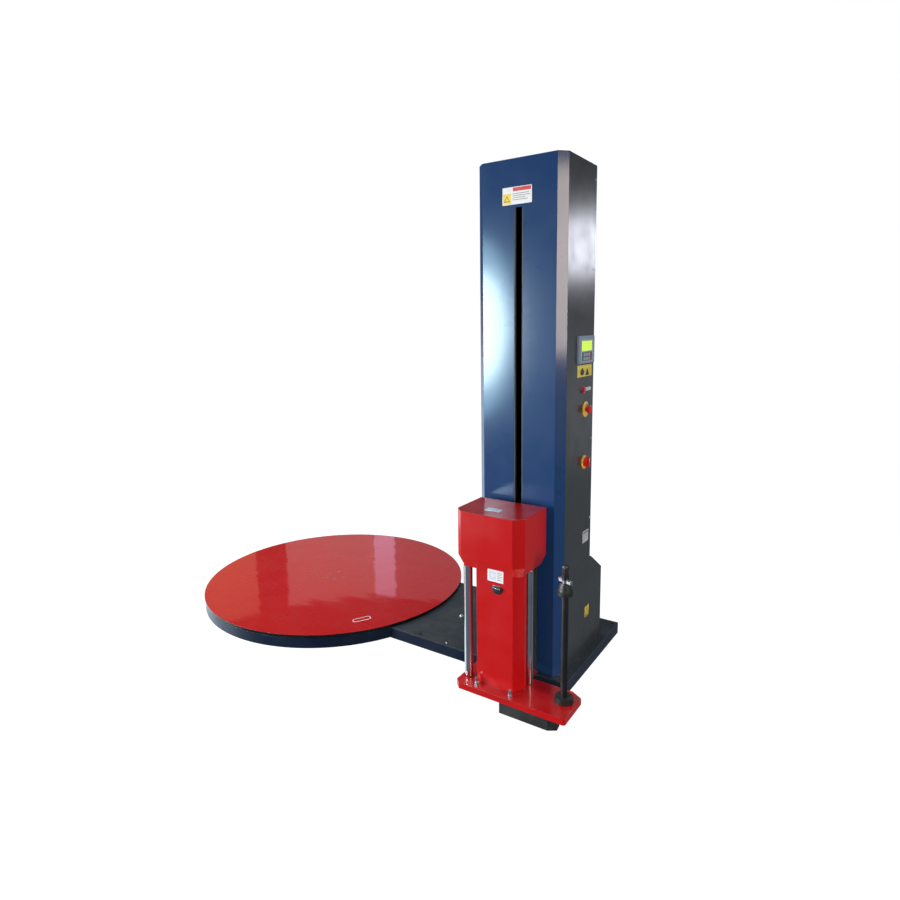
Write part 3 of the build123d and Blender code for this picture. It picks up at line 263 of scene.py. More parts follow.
def times(tree, first, second, clamp=False):
    """Product of two values."""
    return maths(tree, "MULTIPLY", first, second, clamp)


def plus(tree, first, second, clamp=False):
    """Sum of two values."""
    return maths(tree, "ADD", first, second, clamp)


def minus(tree, first, second):
    """Difference of two values."""
    return maths(tree, "SUBTRACT", first, second)


def mix_colour(tree, factor, first, second):
    """Output of a colour mix: the first where the factor is 0, the second where it is 1."""
    made = node(tree, "ShaderNodeMix", data_type="RGBA")
    for socket, value in ((made.inputs[0], factor), (made.inputs[6], first), (made.inputs[7], second)):
        if isinstance(value, bpy.types.NodeSocket):
            tree.links.new(value, socket)
        else:
            socket.default_value = value if isinstance(value, float) else (*value[:3], 1.0)
    return made.outputs[2]


def ramp(tree, value, low, high, bottom=0.0, top=1.0):
    """A value between low and high becomes one between bottom and top, with soft ends."""
    inputs = {"Value": value, "From Min": low, "From Max": high, "To Min": bottom, "To Max": top}
    return node(tree, "ShaderNodeMapRange", inputs, interpolation_type="SMOOTHSTEP").outputs["Result"]


def noise(tree, vector, scale, detail=3.0, roughness=0.55):
    """Factor of a noise texture."""
    inputs = {"Vector": vector, "Scale": scale, "Detail": detail, "Roughness": roughness}
    return node(tree, "ShaderNodeTexNoise", inputs).outputs["Fac"]


def object_place(tree, scale=(1, 1, 1), turn=(0, 0, 0)):
    """Place on the object in metres, stretched and turned."""
    source = node(tree, "ShaderNodeTexCoord").outputs["Object"]
    if scale == (1, 1, 1) and turn == (0, 0, 0):
        return source
    mapped = node(tree, "ShaderNodeMapping", {"Vector": source, "Scale": scale, "Rotation": turn})
    return mapped.outputs["Vector"]


def new_group(name, inputs, outputs):
    """Make a node group whose inputs have defaults; returns its tree, its input node and its output node."""
    tree = bpy.data.node_groups.new(name, "ShaderNodeTree")
    for label, value in inputs.items():
        kind = "NodeSocketColor" if hasattr(value, "__len__") else "NodeSocketFloat"
        socket = tree.interface.new_socket(label, in_out="INPUT", socket_type=kind)
        socket.default_value = value
    for label, kind in outputs.items():
        tree.interface.new_socket(label, in_out="OUTPUT", socket_type=kind)
    return tree, tree.nodes.new("NodeGroupInput"), tree.nodes.new("NodeGroupOutput")


def make_skin_group():
    """Soft edges and the fine waviness of a sprayed coat, as one normal."""
    tree, given, out = new_group("soft_skin", {"Edge": 1.0 * MM, "Wave Scale": 300.0, "Wave Height": 0.1},
                                 {"Normal": "NodeSocketVector"})
    edge = node(tree, "ShaderNodeBevel", {"Radius": given.outputs["Edge"]}, samples=6).outputs["Normal"]
    wave = noise(tree, object_place(tree), given.outputs["Wave Scale"], 2.0)
    bump = node(tree, "ShaderNodeBump", {
        "Strength": given.outputs["Wave Height"], "Distance": 0.2 * MM, "Height": wave, "Normal": edge})
    tree.links.new(bump.outputs["Normal"], out.inputs["Normal"])
    return tree


def make_edge_wear_group():
    """Rubbed edges: where the rounded normal leaves the flat one, broken up by noise."""
    tree, given, out = new_group("edge_wear", {"Reach": 2.0 * MM, "Amount": 0.5}, {"Mask": "NodeSocketFloat"})
    rounded = node(tree, "ShaderNodeBevel", {"Radius": given.outputs["Reach"]}, samples=6).outputs["Normal"]
    flat = node(tree, "ShaderNodeNewGeometry").outputs["Normal"]
    cosine = node(tree, "ShaderNodeVectorMath", {0: rounded, 1: flat}, operation="DOT_PRODUCT")
    turned = minus(tree, 1.0, cosine.outputs["Value"])
    patchy = noise(tree, object_place(tree), 34.0, 5.0, 0.65)
    bite = times(tree, turned, times(tree, patchy, given.outputs["Amount"]))
    tree.links.new(ramp(tree, bite, 0.03, 0.10), out.inputs["Mask"])
    return tree


def make_scratch_group():
    """Fine scratches: three sets of long thin noise streaks, cut off high so that few remain."""
    tree, given, out = new_group("scratches", {"Length Scale": 6.0, "Width Scale": 1500.0, "Cut": 0.70},
                                 {"Mask": "NodeSocketFloat"})
    total = None
    for turn in ((0.3, 0.2, 0.5), (0.1, 1.1, 1.9), (1.3, 0.4, 2.8)):
        stretched = node(tree, "ShaderNodeCombineXYZ", {
            "X": given.outputs["Length Scale"], "Y": given.outputs["Width Scale"],
            "Z": given.outputs["Width Scale"]}).outputs["Vector"]
        vector = node(tree, "ShaderNodeVectorMath", {0: object_place(tree, turn=turn), 1: stretched},
                      operation="MULTIPLY").outputs["Vector"]
        streak = minus(tree, noise(tree, vector, 1.0, 1.0), given.outputs["Cut"])
        streak = times(tree, streak, 9.0, clamp=True)
        total = streak if total is None else maths(tree, "MAXIMUM", total, streak)
    patch = ramp(tree, noise(tree, object_place(tree), 5.0, 3.0), 0.42, 0.66)
    tree.links.new(times(tree, total, patch), out.inputs["Mask"])
    return tree


def make_dust_group():
    """Dust: on faces that look up, thicker near the floor, in soft clouds."""
    tree, given, out = new_group("dust", {"Amount": 0.3, "Height": 0.5}, {"Mask": "NodeSocketFloat"})
    normal = node(tree, "ShaderNodeNewGeometry").outputs["Normal"]
    up = node(tree, "ShaderNodeSeparateXYZ", {0: normal}).outputs["Z"]
    height = node(tree, "ShaderNodeSeparateXYZ", {0: object_place(tree)}).outputs["Z"]
    low = node(tree, "ShaderNodeMapRange", {
        "Value": height, "From Min": 0.0, "From Max": given.outputs["Height"], "To Min": 1.0, "To Max": 0.0})
    clouds = ramp(tree, noise(tree, object_place(tree), 9.0, 6.0, 0.6), 0.38, 0.72)
    lying = plus(tree, times(tree, maths(tree, "MAXIMUM", up, 0.0), 0.75),
                  times(tree, low.outputs["Result"], 0.35))
    mask = times(tree, times(tree, lying, clouds), given.outputs["Amount"], clamp=True)
    tree.links.new(mask, out.inputs["Mask"])
    return tree


def make_mottle_group():
    """Slow change of tone over a panel, from a little darker to a little lighter."""
    tree, given, out = new_group(
        "mottle", {"Color": (0.5, 0.5, 0.5, 1.0), "Scale": 4.0, "Spread": 0.1}, {"Color": "NodeSocketColor"})
    value = noise(tree, object_place(tree), given.outputs["Scale"], 4.0)
    change = times(tree, minus(tree, value, 0.5), given.outputs["Spread"])
    tone = plus(tree, times(tree, change, 2.0), 1.0)
    toned = node(tree, "ShaderNodeVectorMath", {0: given.outputs["Color"], "Scale": tone}, operation="SCALE")
    tree.links.new(toned.outputs["Vector"], out.inputs["Color"])
    return tree


GROUP_MAKERS = {
    "soft_skin": make_skin_group,
    "edge_wear": make_edge_wear_group,
    "scratches": make_scratch_group,
    "dust": make_dust_group,
    "mottle": make_mottle_group,
}


def effect(tree, name, **values):
    """Place a shared effect in a material with its own values."""
    group = bpy.data.node_groups.get(name) or GROUP_MAKERS[name]()
    made = node(tree, "ShaderNodeGroup", node_tree=group)
    for label, value in values.items():
        socket = made.inputs[label.replace("_", " ")]
        if isinstance(value, bpy.types.NodeSocket):
            tree.links.new(value, socket)
        else:
            socket.default_value = value
    return made.outputs[0]


def new_material(name, **plain):
    """A material with one Principled shader; plain values go on the shader's own sockets."""
    found = bpy.data.materials.get(name)
    if found:
        bpy.data.materials.remove(found)
    material = bpy.data.materials.new(name)
    material.use_nodes = True
    tree = material.node_tree
    shader = tree.nodes["Principled BSDF"]
    for label, value in plain.items():
        shader.inputs[label.replace("_", " ")].default_value = value
    return material, tree, shader


# ---- finishes
DUST_COLOUR = (0.22, 0.20, 0.18)
PRIMER = (0.16, 0.16, 0.17)
DIRT = (0.05, 0.05, 0.055)
PAPER_STAIN = (0.35, 0.33, 0.30)


def painted(name, colour, roughness=0.35, coat=0.6, coat_roughness=0.12, edge=1.2 * MM, wave=(260.0, 0.08),
            wear=0.5, dust=0.25, dust_height=0.5, scratch_cut=0.68, spread=0.08, shade_band=None, shine=0.4):
    """Sprayed paint on sheet steel: mottled tone, scratches, edges rubbed to the primer, and dust.

    The shade band, where there is one, is the colour of faces that do not look up: painted shade.
    """
    material, tree, shader = new_material(name, Coat_Weight=coat, Coat_Roughness=coat_roughness)
    tone = (*colour, 1.0)
    # Faces that do not look up take the shade band, which is painted shade.
    if shade_band is not None:
        normal = node(tree, "ShaderNodeNewGeometry").outputs["Normal"]
        up = node(tree, "ShaderNodeSeparateXYZ", {0: normal}).outputs["Z"]
        tone = mix_colour(tree, ramp(tree, up, 0.4, 0.8), shade_band, colour)
    tone = effect(tree, "mottle", Color=tone, Scale=4.0, Spread=spread)
    scratch = effect(tree, "scratches", Cut=scratch_cut)
    worn = effect(tree, "edge_wear", Reach=2.2 * MM, Amount=wear)
    dusty = effect(tree, "dust", Amount=dust, Height=dust_height)
    lighter = [min(1.0, 0.04 + 1.25 * value) for value in colour]
    tone = mix_colour(tree, times(tree, scratch, 0.5), tone, lighter)
    tone = mix_colour(tree, times(tree, worn, 0.8), tone, PRIMER)
    tone = mix_colour(tree, dusty, tone, DUST_COLOUR)
    tree.links.new(tone, shader.inputs["Base Color"])
    smears = ramp(tree, noise(tree, object_place(tree), 7.0, 5.0), 0.35, 0.75, -0.05, 0.10)
    rough = plus(tree, plus(tree, smears, roughness), times(tree, scratch, 0.25))
    rough = plus(tree, rough, times(tree, dusty, 0.5), clamp=True)
    tree.links.new(rough, shader.inputs["Roughness"])
    shader.inputs["Specular IOR Level"].default_value = shine
    skin = effect(tree, "soft_skin", Edge=edge, Wave_Scale=wave[0], Wave_Height=wave[1])
    tree.links.new(skin, shader.inputs["Normal"])
    return material


def metal(name, colour, roughness=0.3, line_scale=(8.0, 8.0, 700.0), line_depth=0.15, dirt=0.3, spread=0.12):
    """Bare or plated steel: fine turned or ground lines, cloudy tone and dark dirt in the clouds."""
    material, tree, shader = new_material(name, Metallic=1.0)
    tone = effect(tree, "mottle", Color=(*colour, 1.0), Scale=11.0, Spread=spread)
    clouds = ramp(tree, noise(tree, object_place(tree), 16.0, 6.0, 0.65), 0.45, 0.8, 0.0, dirt)
    tone = mix_colour(tree, clouds, tone, DIRT)
    tree.links.new(tone, shader.inputs["Base Color"])
    lines = noise(tree, object_place(tree, scale=line_scale), 1.0, 3.0, 0.7)
    rough = plus(tree, times(tree, lines, 0.16), roughness - 0.08)
    rough = plus(tree, rough, times(tree, clouds, 0.4))
    tree.links.new(rough, shader.inputs["Roughness"])
    soft_edge = node(tree, "ShaderNodeBevel", {"Radius": 0.6 * MM}, samples=4).outputs["Normal"]
    bump = node(tree, "ShaderNodeBump", {
        "Strength": line_depth, "Distance": 0.1 * MM, "Height": lines, "Normal": soft_edge})
    tree.links.new(bump.outputs["Normal"], shader.inputs["Normal"])
    return material


def moulded(name, colour, roughness=0.45, grain=(900.0, 0.25), coat=0.0, dust=0.2, spread=0.05):
    """Moulded plastic or rubber: a fine spark grain, faint tone changes and a little dust."""
    material, tree, shader = new_material(name, Coat_Weight=coat)
    tone = effect(tree, "mottle", Color=(*colour, 1.0), Scale=20.0, Spread=spread)
    dusty = effect(tree, "dust", Amount=dust, Height=2.5)
    tree.links.new(mix_colour(tree, dusty, tone, DUST_COLOUR), shader.inputs["Base Color"])
    clouds = noise(tree, object_place(tree), 45.0, 4.0)
    grime = ramp(tree, clouds, 0.3, 0.8, roughness - 0.06, roughness + 0.10)
    tree.links.new(grime, shader.inputs["Roughness"])
    skin = effect(tree, "soft_skin", Edge=0.8 * MM, Wave_Scale=grain[0], Wave_Height=grain[1])
    tree.links.new(skin, shader.inputs["Normal"])
    return material


def ink_mask(tree, x, y, shape):
    """1 inside a printed shape, a box, disc or triangle given by its middle and half sizes."""
    kind, middle_x, middle_y, half_x, half_y = shape
    away_x = maths(tree, "ABSOLUTE", minus(tree, x, middle_x * MM))
    from_y = minus(tree, y, middle_y * MM)
    if kind == "disc":
        reach_x = maths(tree, "POWER", maths(tree, "DIVIDE", away_x, half_x * MM), 2.0)
        reach_y = maths(tree, "POWER", maths(tree, "DIVIDE", from_y, half_y * MM), 2.0)
        return maths(tree, "LESS_THAN", plus(tree, reach_x, reach_y), 1.0)
    inside_y = maths(tree, "LESS_THAN", maths(tree, "ABSOLUTE", from_y), half_y * MM)
    if kind == "triangle":
        room = times(tree, minus(tree, half_y * MM, from_y), half_x / (2 * half_y))
        return times(tree, maths(tree, "LESS_THAN", away_x, room), inside_y)
    return times(tree, maths(tree, "LESS_THAN", away_x, half_x * MM), inside_y)


def printed(name, ground, inks, roughness=0.35, metallic=0.0):
    """A label: a ground colour with plain printed shapes in order, lightly yellowed, under a clear film."""
    material, tree, shader = new_material(name, Coat_Weight=0.3, Coat_Roughness=0.2, Metallic=metallic)
    uv = node(tree, "ShaderNodeUVMap", uv_map="print").outputs["UV"]
    parted = node(tree, "ShaderNodeSeparateXYZ", {0: uv})
    x, y = parted.outputs["X"], parted.outputs["Y"]
    tone = (*ground, 1.0)
    for shape, colour in inks:
        tone = mix_colour(tree, ink_mask(tree, x, y, shape), tone, colour)
    worn = ramp(tree, noise(tree, object_place(tree), 60.0, 6.0, 0.7), 0.50, 0.80, 0.0, 0.35)
    tree.links.new(mix_colour(tree, worn, tone, PAPER_STAIN), shader.inputs["Base Color"])
    clouds = noise(tree, object_place(tree), 90.0, 3.0)
    grime = ramp(tree, clouds, 0.3, 0.8, roughness - 0.05, roughness + 0.15)
    tree.links.new(grime, shader.inputs["Roughness"])
    return material


def table_paint(name, colour, shade_band):
    """Gloss red with a near-black edge that is painted shade, on sheet that sags a little and so bends its
    reflections.
    """
    material = painted(name, colour, roughness=0.30, coat=0.8, coat_roughness=0.05, wave=(60.0, 0.05),
                       wear=0.1, dust=0.03, scratch_cut=0.78, spread=0.05, shade_band=shade_band, shine=0.05)
    tree = material.node_tree
    shader = tree.nodes["Principled BSDF"]
    sag = noise(tree, object_place(tree, scale=(2.2, 6.5, 1.0)), 1.0, 2.0, 0.4)
    skin = shader.inputs["Normal"].links[0].from_socket
    bump = node(tree, "ShaderNodeBump", {
        "Strength": 1.0, "Distance": 1.5 * MM, "Height": sag, "Normal": skin})
    tree.links.new(bump.outputs["Normal"], shader.inputs["Normal"])
    tree.links.new(bump.outputs["Normal"], shader.inputs["Coat Normal"])
    return material


def roller_steel(name):
    """Ground and plated roller: mirror-like, with rings left by grinding."""
    return metal(name, (0.66, 0.69, 0.76), roughness=0.16, line_scale=(3.0, 3.0, 1500.0), line_depth=0.10,
                 dirt=0.15, spread=0.06)


def screen_glow(name):
    """Backlit display: rows of small dark cells on yellow-green light."""
    material, tree, shader = new_material(name, Roughness=0.12, Coat_Weight=1.0, Coat_Roughness=0.03)
    parted = node(tree, "ShaderNodeSeparateXYZ", {0: object_place(tree)})
    middle = centre("operator_screen")
    across = minus(tree, parted.outputs["Y"], float(middle[1]))
    up = minus(tree, parted.outputs["Z"], float(middle[2]))
    row_wave = maths(tree, "PINGPONG", plus(tree, up, 0.1), 5.5 * MM)
    cell_wave = maths(tree, "PINGPONG", plus(tree, across, 0.1), 3.0 * MM)
    rows = maths(tree, "LESS_THAN", row_wave, 2.2 * MM)
    cells = maths(tree, "GREATER_THAN", cell_wave, 0.9 * MM)
    edge = maths(tree, "LESS_THAN", maths(tree, "ABSOLUTE", across), 52 * MM)
    dark = times(tree, times(tree, rows, cells), edge)
    tone = mix_colour(tree, times(tree, dark, 0.30), (0.62, 0.88, 0.03), (0.10, 0.16, 0.01))
    tree.links.new(tone, shader.inputs["Base Color"])
    tree.links.new(tone, shader.inputs["Emission Color"])
    shader.inputs["Emission Strength"].default_value = 0.7
    return material


def key_caps(name):
    """Membrane keys: a dark ground whose raised keys are grey, with one column green and one red."""
    material, tree, shader = new_material(name, Roughness=0.45, Coat_Weight=0.2)
    face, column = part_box("membrane_keypad")[1].x, 42 * MM
    parted = node(tree, "ShaderNodeSeparateXYZ", {0: object_place(tree)})
    raised = ramp(tree, parted.outputs["X"], face - 0.6 * MM, face - 0.3 * MM)
    across = minus(tree, parted.outputs["Y"], float(centre("membrane_keypad")[1]))
    right = maths(tree, "GREATER_THAN", across, column)
    left = maths(tree, "LESS_THAN", across, -column)
    cap = mix_colour(tree, left, (0.42, 0.44, 0.48), (0.03, 0.22, 0.08))
    cap = mix_colour(tree, right, cap, (0.40, 0.03, 0.03))
    tone = mix_colour(tree, raised, (0.10, 0.12, 0.15), cap)
    tree.links.new(effect(tree, "mottle", Color=tone, Scale=60.0, Spread=0.1), shader.inputs["Base Color"])
    skin = effect(tree, "soft_skin", Edge=0.6 * MM, Wave_Scale=1500.0, Wave_Height=0.1)
    tree.links.new(skin, shader.inputs["Normal"])
    return material


def give(material, *nodes):
    """Put a material on CAD nodes."""
    for name in nodes:
        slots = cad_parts[name].material_slots
        if not slots:
            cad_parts[name].data.materials.append(material)
        for index in range(len(slots)):
            slots[index].material = material


def numbered(stem, count):
    """Names of a numbered set of nodes."""
    return [stem + "_" + str(index + 1) for index in range(count)]


# ---- operators: finishes
class Step(bpy.types.Operator):
    """Shared by this add-on's operators."""

    bl_idname = "wrapper.step"
    bl_label = "Step"
    bl_options = {"REGISTER"}


class WRAPPER_OT_table_finish(Step):
    """Paint the turntable and finish its hub, screws and support wheels"""

    bl_idname = "wrapper.table_finish"
    bl_label = "Turntable finish"

    def execute(self, context):
        paints = context.scene.wrapper_paints
        # The turntable's sides are painted near-black as shade.
        give(table_paint("table_paint", paints.table, paints.shaded_edge_band), "turntable_plate")
        give(metal("dark_screw_steel", (0.30, 0.31, 0.33), roughness=0.4), "hub_screws")
        give(metal("machined_steel", (0.50, 0.51, 0.53), roughness=0.32), "hub_sprocket", "hub_spindle",
             "wheel_brackets", "table_drive_sprocket", "lift_lower_sprocket", "lift_upper_sprocket",
             "feed_motor_pulley", "shaft_bushes")
        give(moulded("cast_wheel", (0.45, 0.10, 0.03), roughness=0.4),
             *numbered("support_wheel", 6), "guide_wheels_lower", "guide_wheels_upper")
        return {"FINISHED"}


class WRAPPER_OT_base_finish(Step):
    """Paint the skirt, the base's edge and its top; the skirt and edge take real navy paint darkened as
    painted shade
    """

    bl_idname = "wrapper.base_finish"
    bl_label = "Base finish"

    def execute(self, context):
        paints = context.scene.wrapper_paints
        # Real navy paint, darkened as painted shade low near the floor.
        navy = painted("shaded_base_navy", paints.shaded_base_navy, roughness=0.38, coat=0.4, wear=0.6, dust=0.08,
                       dust_height=0.2, shine=0.2)
        give(navy, "ring_skirt", "link_frame")
        slate = painted("base_slate", paints.slate, roughness=0.42, coat=0.25, coat_roughness=0.25,
                        wear=0.9, dust=0.12, scratch_cut=0.62, spread=0.14, shine=0.15)
        give(slate, "link_cover")
        give(painted("base_black", (0.02, 0.021, 0.023), roughness=0.5, coat=0.0), "floor_plate")
        return {"FINISHED"}


class WRAPPER_OT_mast_finish(Step):
    """Paint the mast's panels and housing, and finish its seals, rails and gland"""

    bl_idname = "wrapper.mast_finish"
    bl_label = "Mast finish"

    def execute(self, context):
        paints = context.scene.wrapper_paints
        navy = painted("mast_navy", paints.navy, roughness=0.32, coat=0.6, coat_roughness=0.13,
                       wear=0.05, dust=0.04, scratch_cut=0.82, spread=0.08, edge=2.0 * MM, shine=0.1)
        give(navy, "mast_front_panel", "mast_top_cap")
        charcoal = painted("mast_charcoal", paints.charcoal, roughness=0.34, coat=0.6, coat_roughness=0.24,
                           wave=(420.0, 0.12), wear=0.2, dust=0.08, scratch_cut=0.76, spread=0.10,
                           edge=2.0 * MM)
        give(charcoal, "mast_left_panel", "mast_right_panel", "mast_rear_panel", "rear_housing")
        give(painted("frame_black", (0.018, 0.019, 0.021), roughness=0.45, coat=0.1), "mast_frame",
             "lift_brackets", "trolley_frame", "carriage_frame")
        give(moulded("seal_rubber", (0.010, 0.014, 0.024), roughness=0.6), "slot_seals", "feed_belt")
        give(moulded("gland_plastic", (0.015, 0.015, 0.016), roughness=0.45), "cable_gland")
        return {"FINISHED"}


class WRAPPER_OT_drive_finish(Step):
    """Finish the gearmotors, chains and drive cabinet"""

    bl_idname = "wrapper.drive_finish"
    bl_label = "Drive finish"

    def execute(self, context):
        give(painted("motor_enamel", (0.10, 0.13, 0.17), roughness=0.4, coat=0.3, wave=(180.0, 0.3)),
             "table_gearmotor", "lift_gearmotor", "feed_motor")
        give(metal("oiled_chain", (0.26, 0.25, 0.24), roughness=0.36, dirt=0.7),
             "table_drive_chain", "lift_chain")
        give(painted("cabinet_grey", (0.42, 0.43, 0.42), roughness=0.5, coat=0.0, wave=(500.0, 0.3)),
             "drive_cabinet")
        return {"FINISHED"}


class WRAPPER_OT_carriage_finish(Step):
    """Paint the carriage and finish its rollers, spindle, bolts, tray and latch"""

    bl_idname = "wrapper.carriage_finish"
    bl_label = "Carriage finish"

    def execute(self, context):
        paints = context.scene.wrapper_paints
        red = painted("carriage_red", paints.carriage, roughness=0.36, coat=0.4, coat_roughness=0.16,
                      wave=(300.0, 0.10), wear=0.5, dust=0.06, spread=0.08, edge=2.0 * MM, shine=0.25)
        give(red, "head_cover", "column_cover", "carriage_deck")
        give(roller_steel("roller_steel"), "idle_roller", "drive_roller")
        give(metal("spindle_steel", (0.07, 0.07, 0.075), roughness=0.40, dirt=0.4), "film_spindle_post")
        give(metal("lever_zinc", (0.62, 0.62, 0.68), roughness=0.28, line_scale=(90.0, 90.0, 90.0)),
             "expander_lever")
        give(metal("bolt_zinc", (0.42, 0.50, 0.62), roughness=0.30, line_scale=(60.0, 60.0, 400.0)),
             "deck_bolts")
        give(painted("tray_grey", (0.010, 0.014, 0.016), roughness=0.5, coat=0.1, wear=0.6, dust=0.4),
             "drive_tray")
        give(moulded("core_plastic", (0.010, 0.010, 0.011), roughness=0.5), "core_seat", "core_expander")
        give(moulded("latch_plastic", (0.010, 0.010, 0.012), roughness=0.35, coat=0.3), "cover_latch")
        return {"FINISHED"}


class WRAPPER_OT_control_finish(Step):
    """Finish the operator panel, its screen and keys, and the buttons and switches"""

    bl_idname = "wrapper.control_finish"
    bl_label = "Control finish"

    def execute(self, context):
        give(moulded("panel_grey", (0.25, 0.31, 0.42), roughness=0.42), "operator_panel")
        give(screen_glow("screen_glow"), "operator_screen")
        give(key_caps("key_caps"), "membrane_keypad")
        give(moulded("switch_yellow", (0.86, 0.52, 0.05), roughness=0.3, coat=0.4), "switch_surrounds")
        red = moulded("switch_red", (0.66, 0.015, 0.012), roughness=0.25, coat=0.6, grain=(600.0, 0.08))
        give(red, "emergency_stop_button", "main_switch_handle")
        give(moulded("button_crimson", (0.42, 0.008, 0.05), roughness=0.25, coat=0.6, grain=(600.0, 0.08)),
             "start_button_cap")
        return {"FINISHED"}


# ---- operators: labels
WHITE = (0.80, 0.80, 0.80)
GREY_INK = (0.12, 0.12, 0.13)
YELLOW = (0.82, 0.60, 0.03)
RED_INK = (0.60, 0.03, 0.03)
BLACK_INK = (0.01, 0.01, 0.01)
SIDE = ((0, 1, 0), (0, 0, 1))
FRONT = ((1, 0, 0), (0, 0, 1))
TOP = ((1, 0, 0), (0, 1, 0))


def add_label(name, middle, directions, size, material, settings, body="base"):
    """A thin plate with rounded corners whose UV map is in metres from its middle."""
    points, faces = slab(*size, settings.corner, settings.thickness, settings.thickness / 2)
    return add_piece(name, place(points, middle, *directions), faces, body, material,
                     flat_uv=points[..., :2])


def text_rows(left, top, pitch, widths, half=1.2):
    """Plain bars that stand for rows of small print: left-aligned boxes of the given widths, pitch apart."""
    return [(("box", left + width / 2, top - index * pitch, width / 2, half), GREY_INK)
            for index, width in enumerate(widths)]


class WRAPPER_OT_mast_labels(Step):
    """Stick the label above the slot"""

    bl_idname = "wrapper.mast_labels"
    bl_label = "Mast label"

    def execute(self, context):
        sizes = context.scene.wrapper_labels
        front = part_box("mast_front_panel")[0].y
        slot_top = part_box("slot_seals")[1].z
        left, above = 8 * MM, 50 * MM
        inks = [
            (("box", 24, 26, 44, 8), RED_INK),
            (("box", -49, -12, 20.5, 22), YELLOW),
            (("triangle", -49, -11, 15, 13), BLACK_INK),
            (("triangle", -49, -12, 10, 9), YELLOW),
            *text_rows(-22, 8, 8.5, (80, 86, 62, 74)),
        ]
        add_label("mast_label", (centre("mast_front_panel")[0] - left, front, slot_top + above), FRONT,
                  (sizes.mast_width, sizes.mast_height), printed("mast_label_print", WHITE, inks),
                  sizes)
        return {"FINISHED"}


class WRAPPER_OT_side_labels(Step):
    """Stick the yellow sign, the tag, the data plate and the small yellow triangle on the mast's side"""

    bl_idname = "wrapper.side_labels"
    bl_label = "Side labels"

    def execute(self, context):
        sizes = context.scene.wrapper_labels
        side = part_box("mast_right_panel")[1].x
        self.add_sign(side, sizes)
        self.add_tag(side, sizes)
        self.add_plate(side, sizes)
        self.add_low_sign(side, sizes)
        return {"FINISHED"}

    def add_sign(self, side, sizes):
        """Yellow, with a pale band and two black figures, under the operator panel."""
        below = 35 * MM
        inks = [
            (("box", 0, 17, 84, 6), (0.90, 0.72, 0.10)),
            (("disc", -30, -6, 23, 15), BLACK_INK),
            (("box", -30, 4, 9, 9), BLACK_INK),
            (("triangle", 32, -5, 25, 17), BLACK_INK),
        ]
        middle = (side, centre("operator_panel")[1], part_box("operator_panel")[0].z - below)
        add_label("yellow_sign", middle, SIDE, (sizes.sign_width, sizes.sign_height),
                  printed("sign_print", YELLOW, inks), sizes)

    def add_tag(self, side, sizes):
        """White, with two rows of print, beside the start button."""
        beside = 60 * MM
        button = centre("start_button_cap")
        add_label("button_tag", (side, button[1] + beside, button[2]), SIDE,
                  (sizes.tag_width, sizes.tag_height),
                  printed("tag_print", WHITE, text_rows(-30, 2.5, 5.0, (56, 40), half=1.0)),
                  sizes)

    def add_plate(self, side, sizes):
        """Pale metal, with a heading and two columns of print, over the rear housing."""
        along, above = -48 * MM, 130 * MM
        inks = [
            (("box", 0, 20, 32, 5), (0.25, 0.27, 0.32)),
            (("box", -6, -7, 0.5, 18), GREY_INK),
            *text_rows(-31, 9, 7.5, (20, 17, 22, 15), half=1.0),
            *text_rows(0, 9, 7.5, (28, 22, 25, 18), half=1.0),
        ]
        add_label("data_plate", (side, along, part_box("rear_housing")[1].z + above), SIDE,
                  (sizes.plate_width, sizes.plate_height),
                  printed("plate_print", (0.72, 0.73, 0.76), inks, roughness=0.25, metallic=0.2),
                  sizes)

    def add_low_sign(self, side, sizes):
        """Yellow, with a black triangle, near the base."""
        along, height = -13 * MM, 268 * MM
        inks = [
            (("triangle", 0, 0, 25, 22), BLACK_INK),
            (("triangle", 0, -1, 19, 17), YELLOW),
        ]
        add_label("low_sign", (side, along, height), SIDE, (sizes.low_sign, sizes.low_sign),
                  printed("low_sign_print", YELLOW, inks), sizes)


class WRAPPER_OT_carriage_labels(Step):
    """Stick the white label on the column and the silver one on the head"""

    bl_idname = "wrapper.carriage_labels"
    bl_label = "Carriage labels"

    def execute(self, context):
        sizes = context.scene.wrapper_labels
        latch = centre("cover_latch")
        left, above = 10 * MM, 54 * MM
        inks = [
            (("box", -14, 0, 16, 19), (0.62, 0.66, 0.80)),
            (("disc", -14, 2, 9, 10), (0.80, 0.80, 0.84)),
            *text_rows(8, 16, 8.0, (24, 20, 26, 18, 22)),
        ]
        middle = (latch[0] - left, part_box("column_cover")[0].y, latch[2] + above)
        add_label("column_label", middle, FRONT, (sizes.column_width, sizes.column_height),
                  printed("column_print", (0.84, 0.84, 0.88), inks), sizes, "carriage")
        low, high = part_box("head_cover")
        left, behind = 12 * MM, 90 * MM
        silver = printed("head_print", (0.70, 0.70, 0.74), text_rows(-30, 12, 8.0, (50, 58, 40)),
                         roughness=0.3, metallic=0.6)
        add_label("head_label", (centre("head_cover")[0] - left, low.y + behind, high.z), TOP,
                  (sizes.head_width, sizes.head_depth), silver, sizes, "carriage")
        return {"FINISHED"}


class WRAPPER_OT_table_mark(Step):
    """Lay the rounded outline on the turntable"""

    bl_idname = "wrapper.table_mark"
    bl_label = "Turntable mark"

    def execute(self, context):
        trim = context.scene.wrapper_trim
        width, height, corner = 101 * MM, 35 * MM, 15 * MM
        middle = (0.565, -0.395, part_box("turntable_plate")[1].z)
        slope = math.atan2(92, 53)
        across = (math.cos(slope), math.sin(slope), 0)
        up = (-math.sin(slope), math.cos(slope), 0)
        half = trim.ring_wire / 2
        section = ((half, 0.0), (half, 0.5 * MM), (half / 2, 0.8 * MM), (-half / 2, 0.8 * MM),
                   (-half, 0.5 * MM), (-half, 0.0))
        points, faces = framed_ring(width, height, corner, section)
        white = moulded("mark_white", (0.78, 0.72, 0.70), roughness=0.4, spread=0.1)
        add_piece("table_mark", place(points, middle, across, up), faces, "turntable", white)
        return {"FINISHED"}


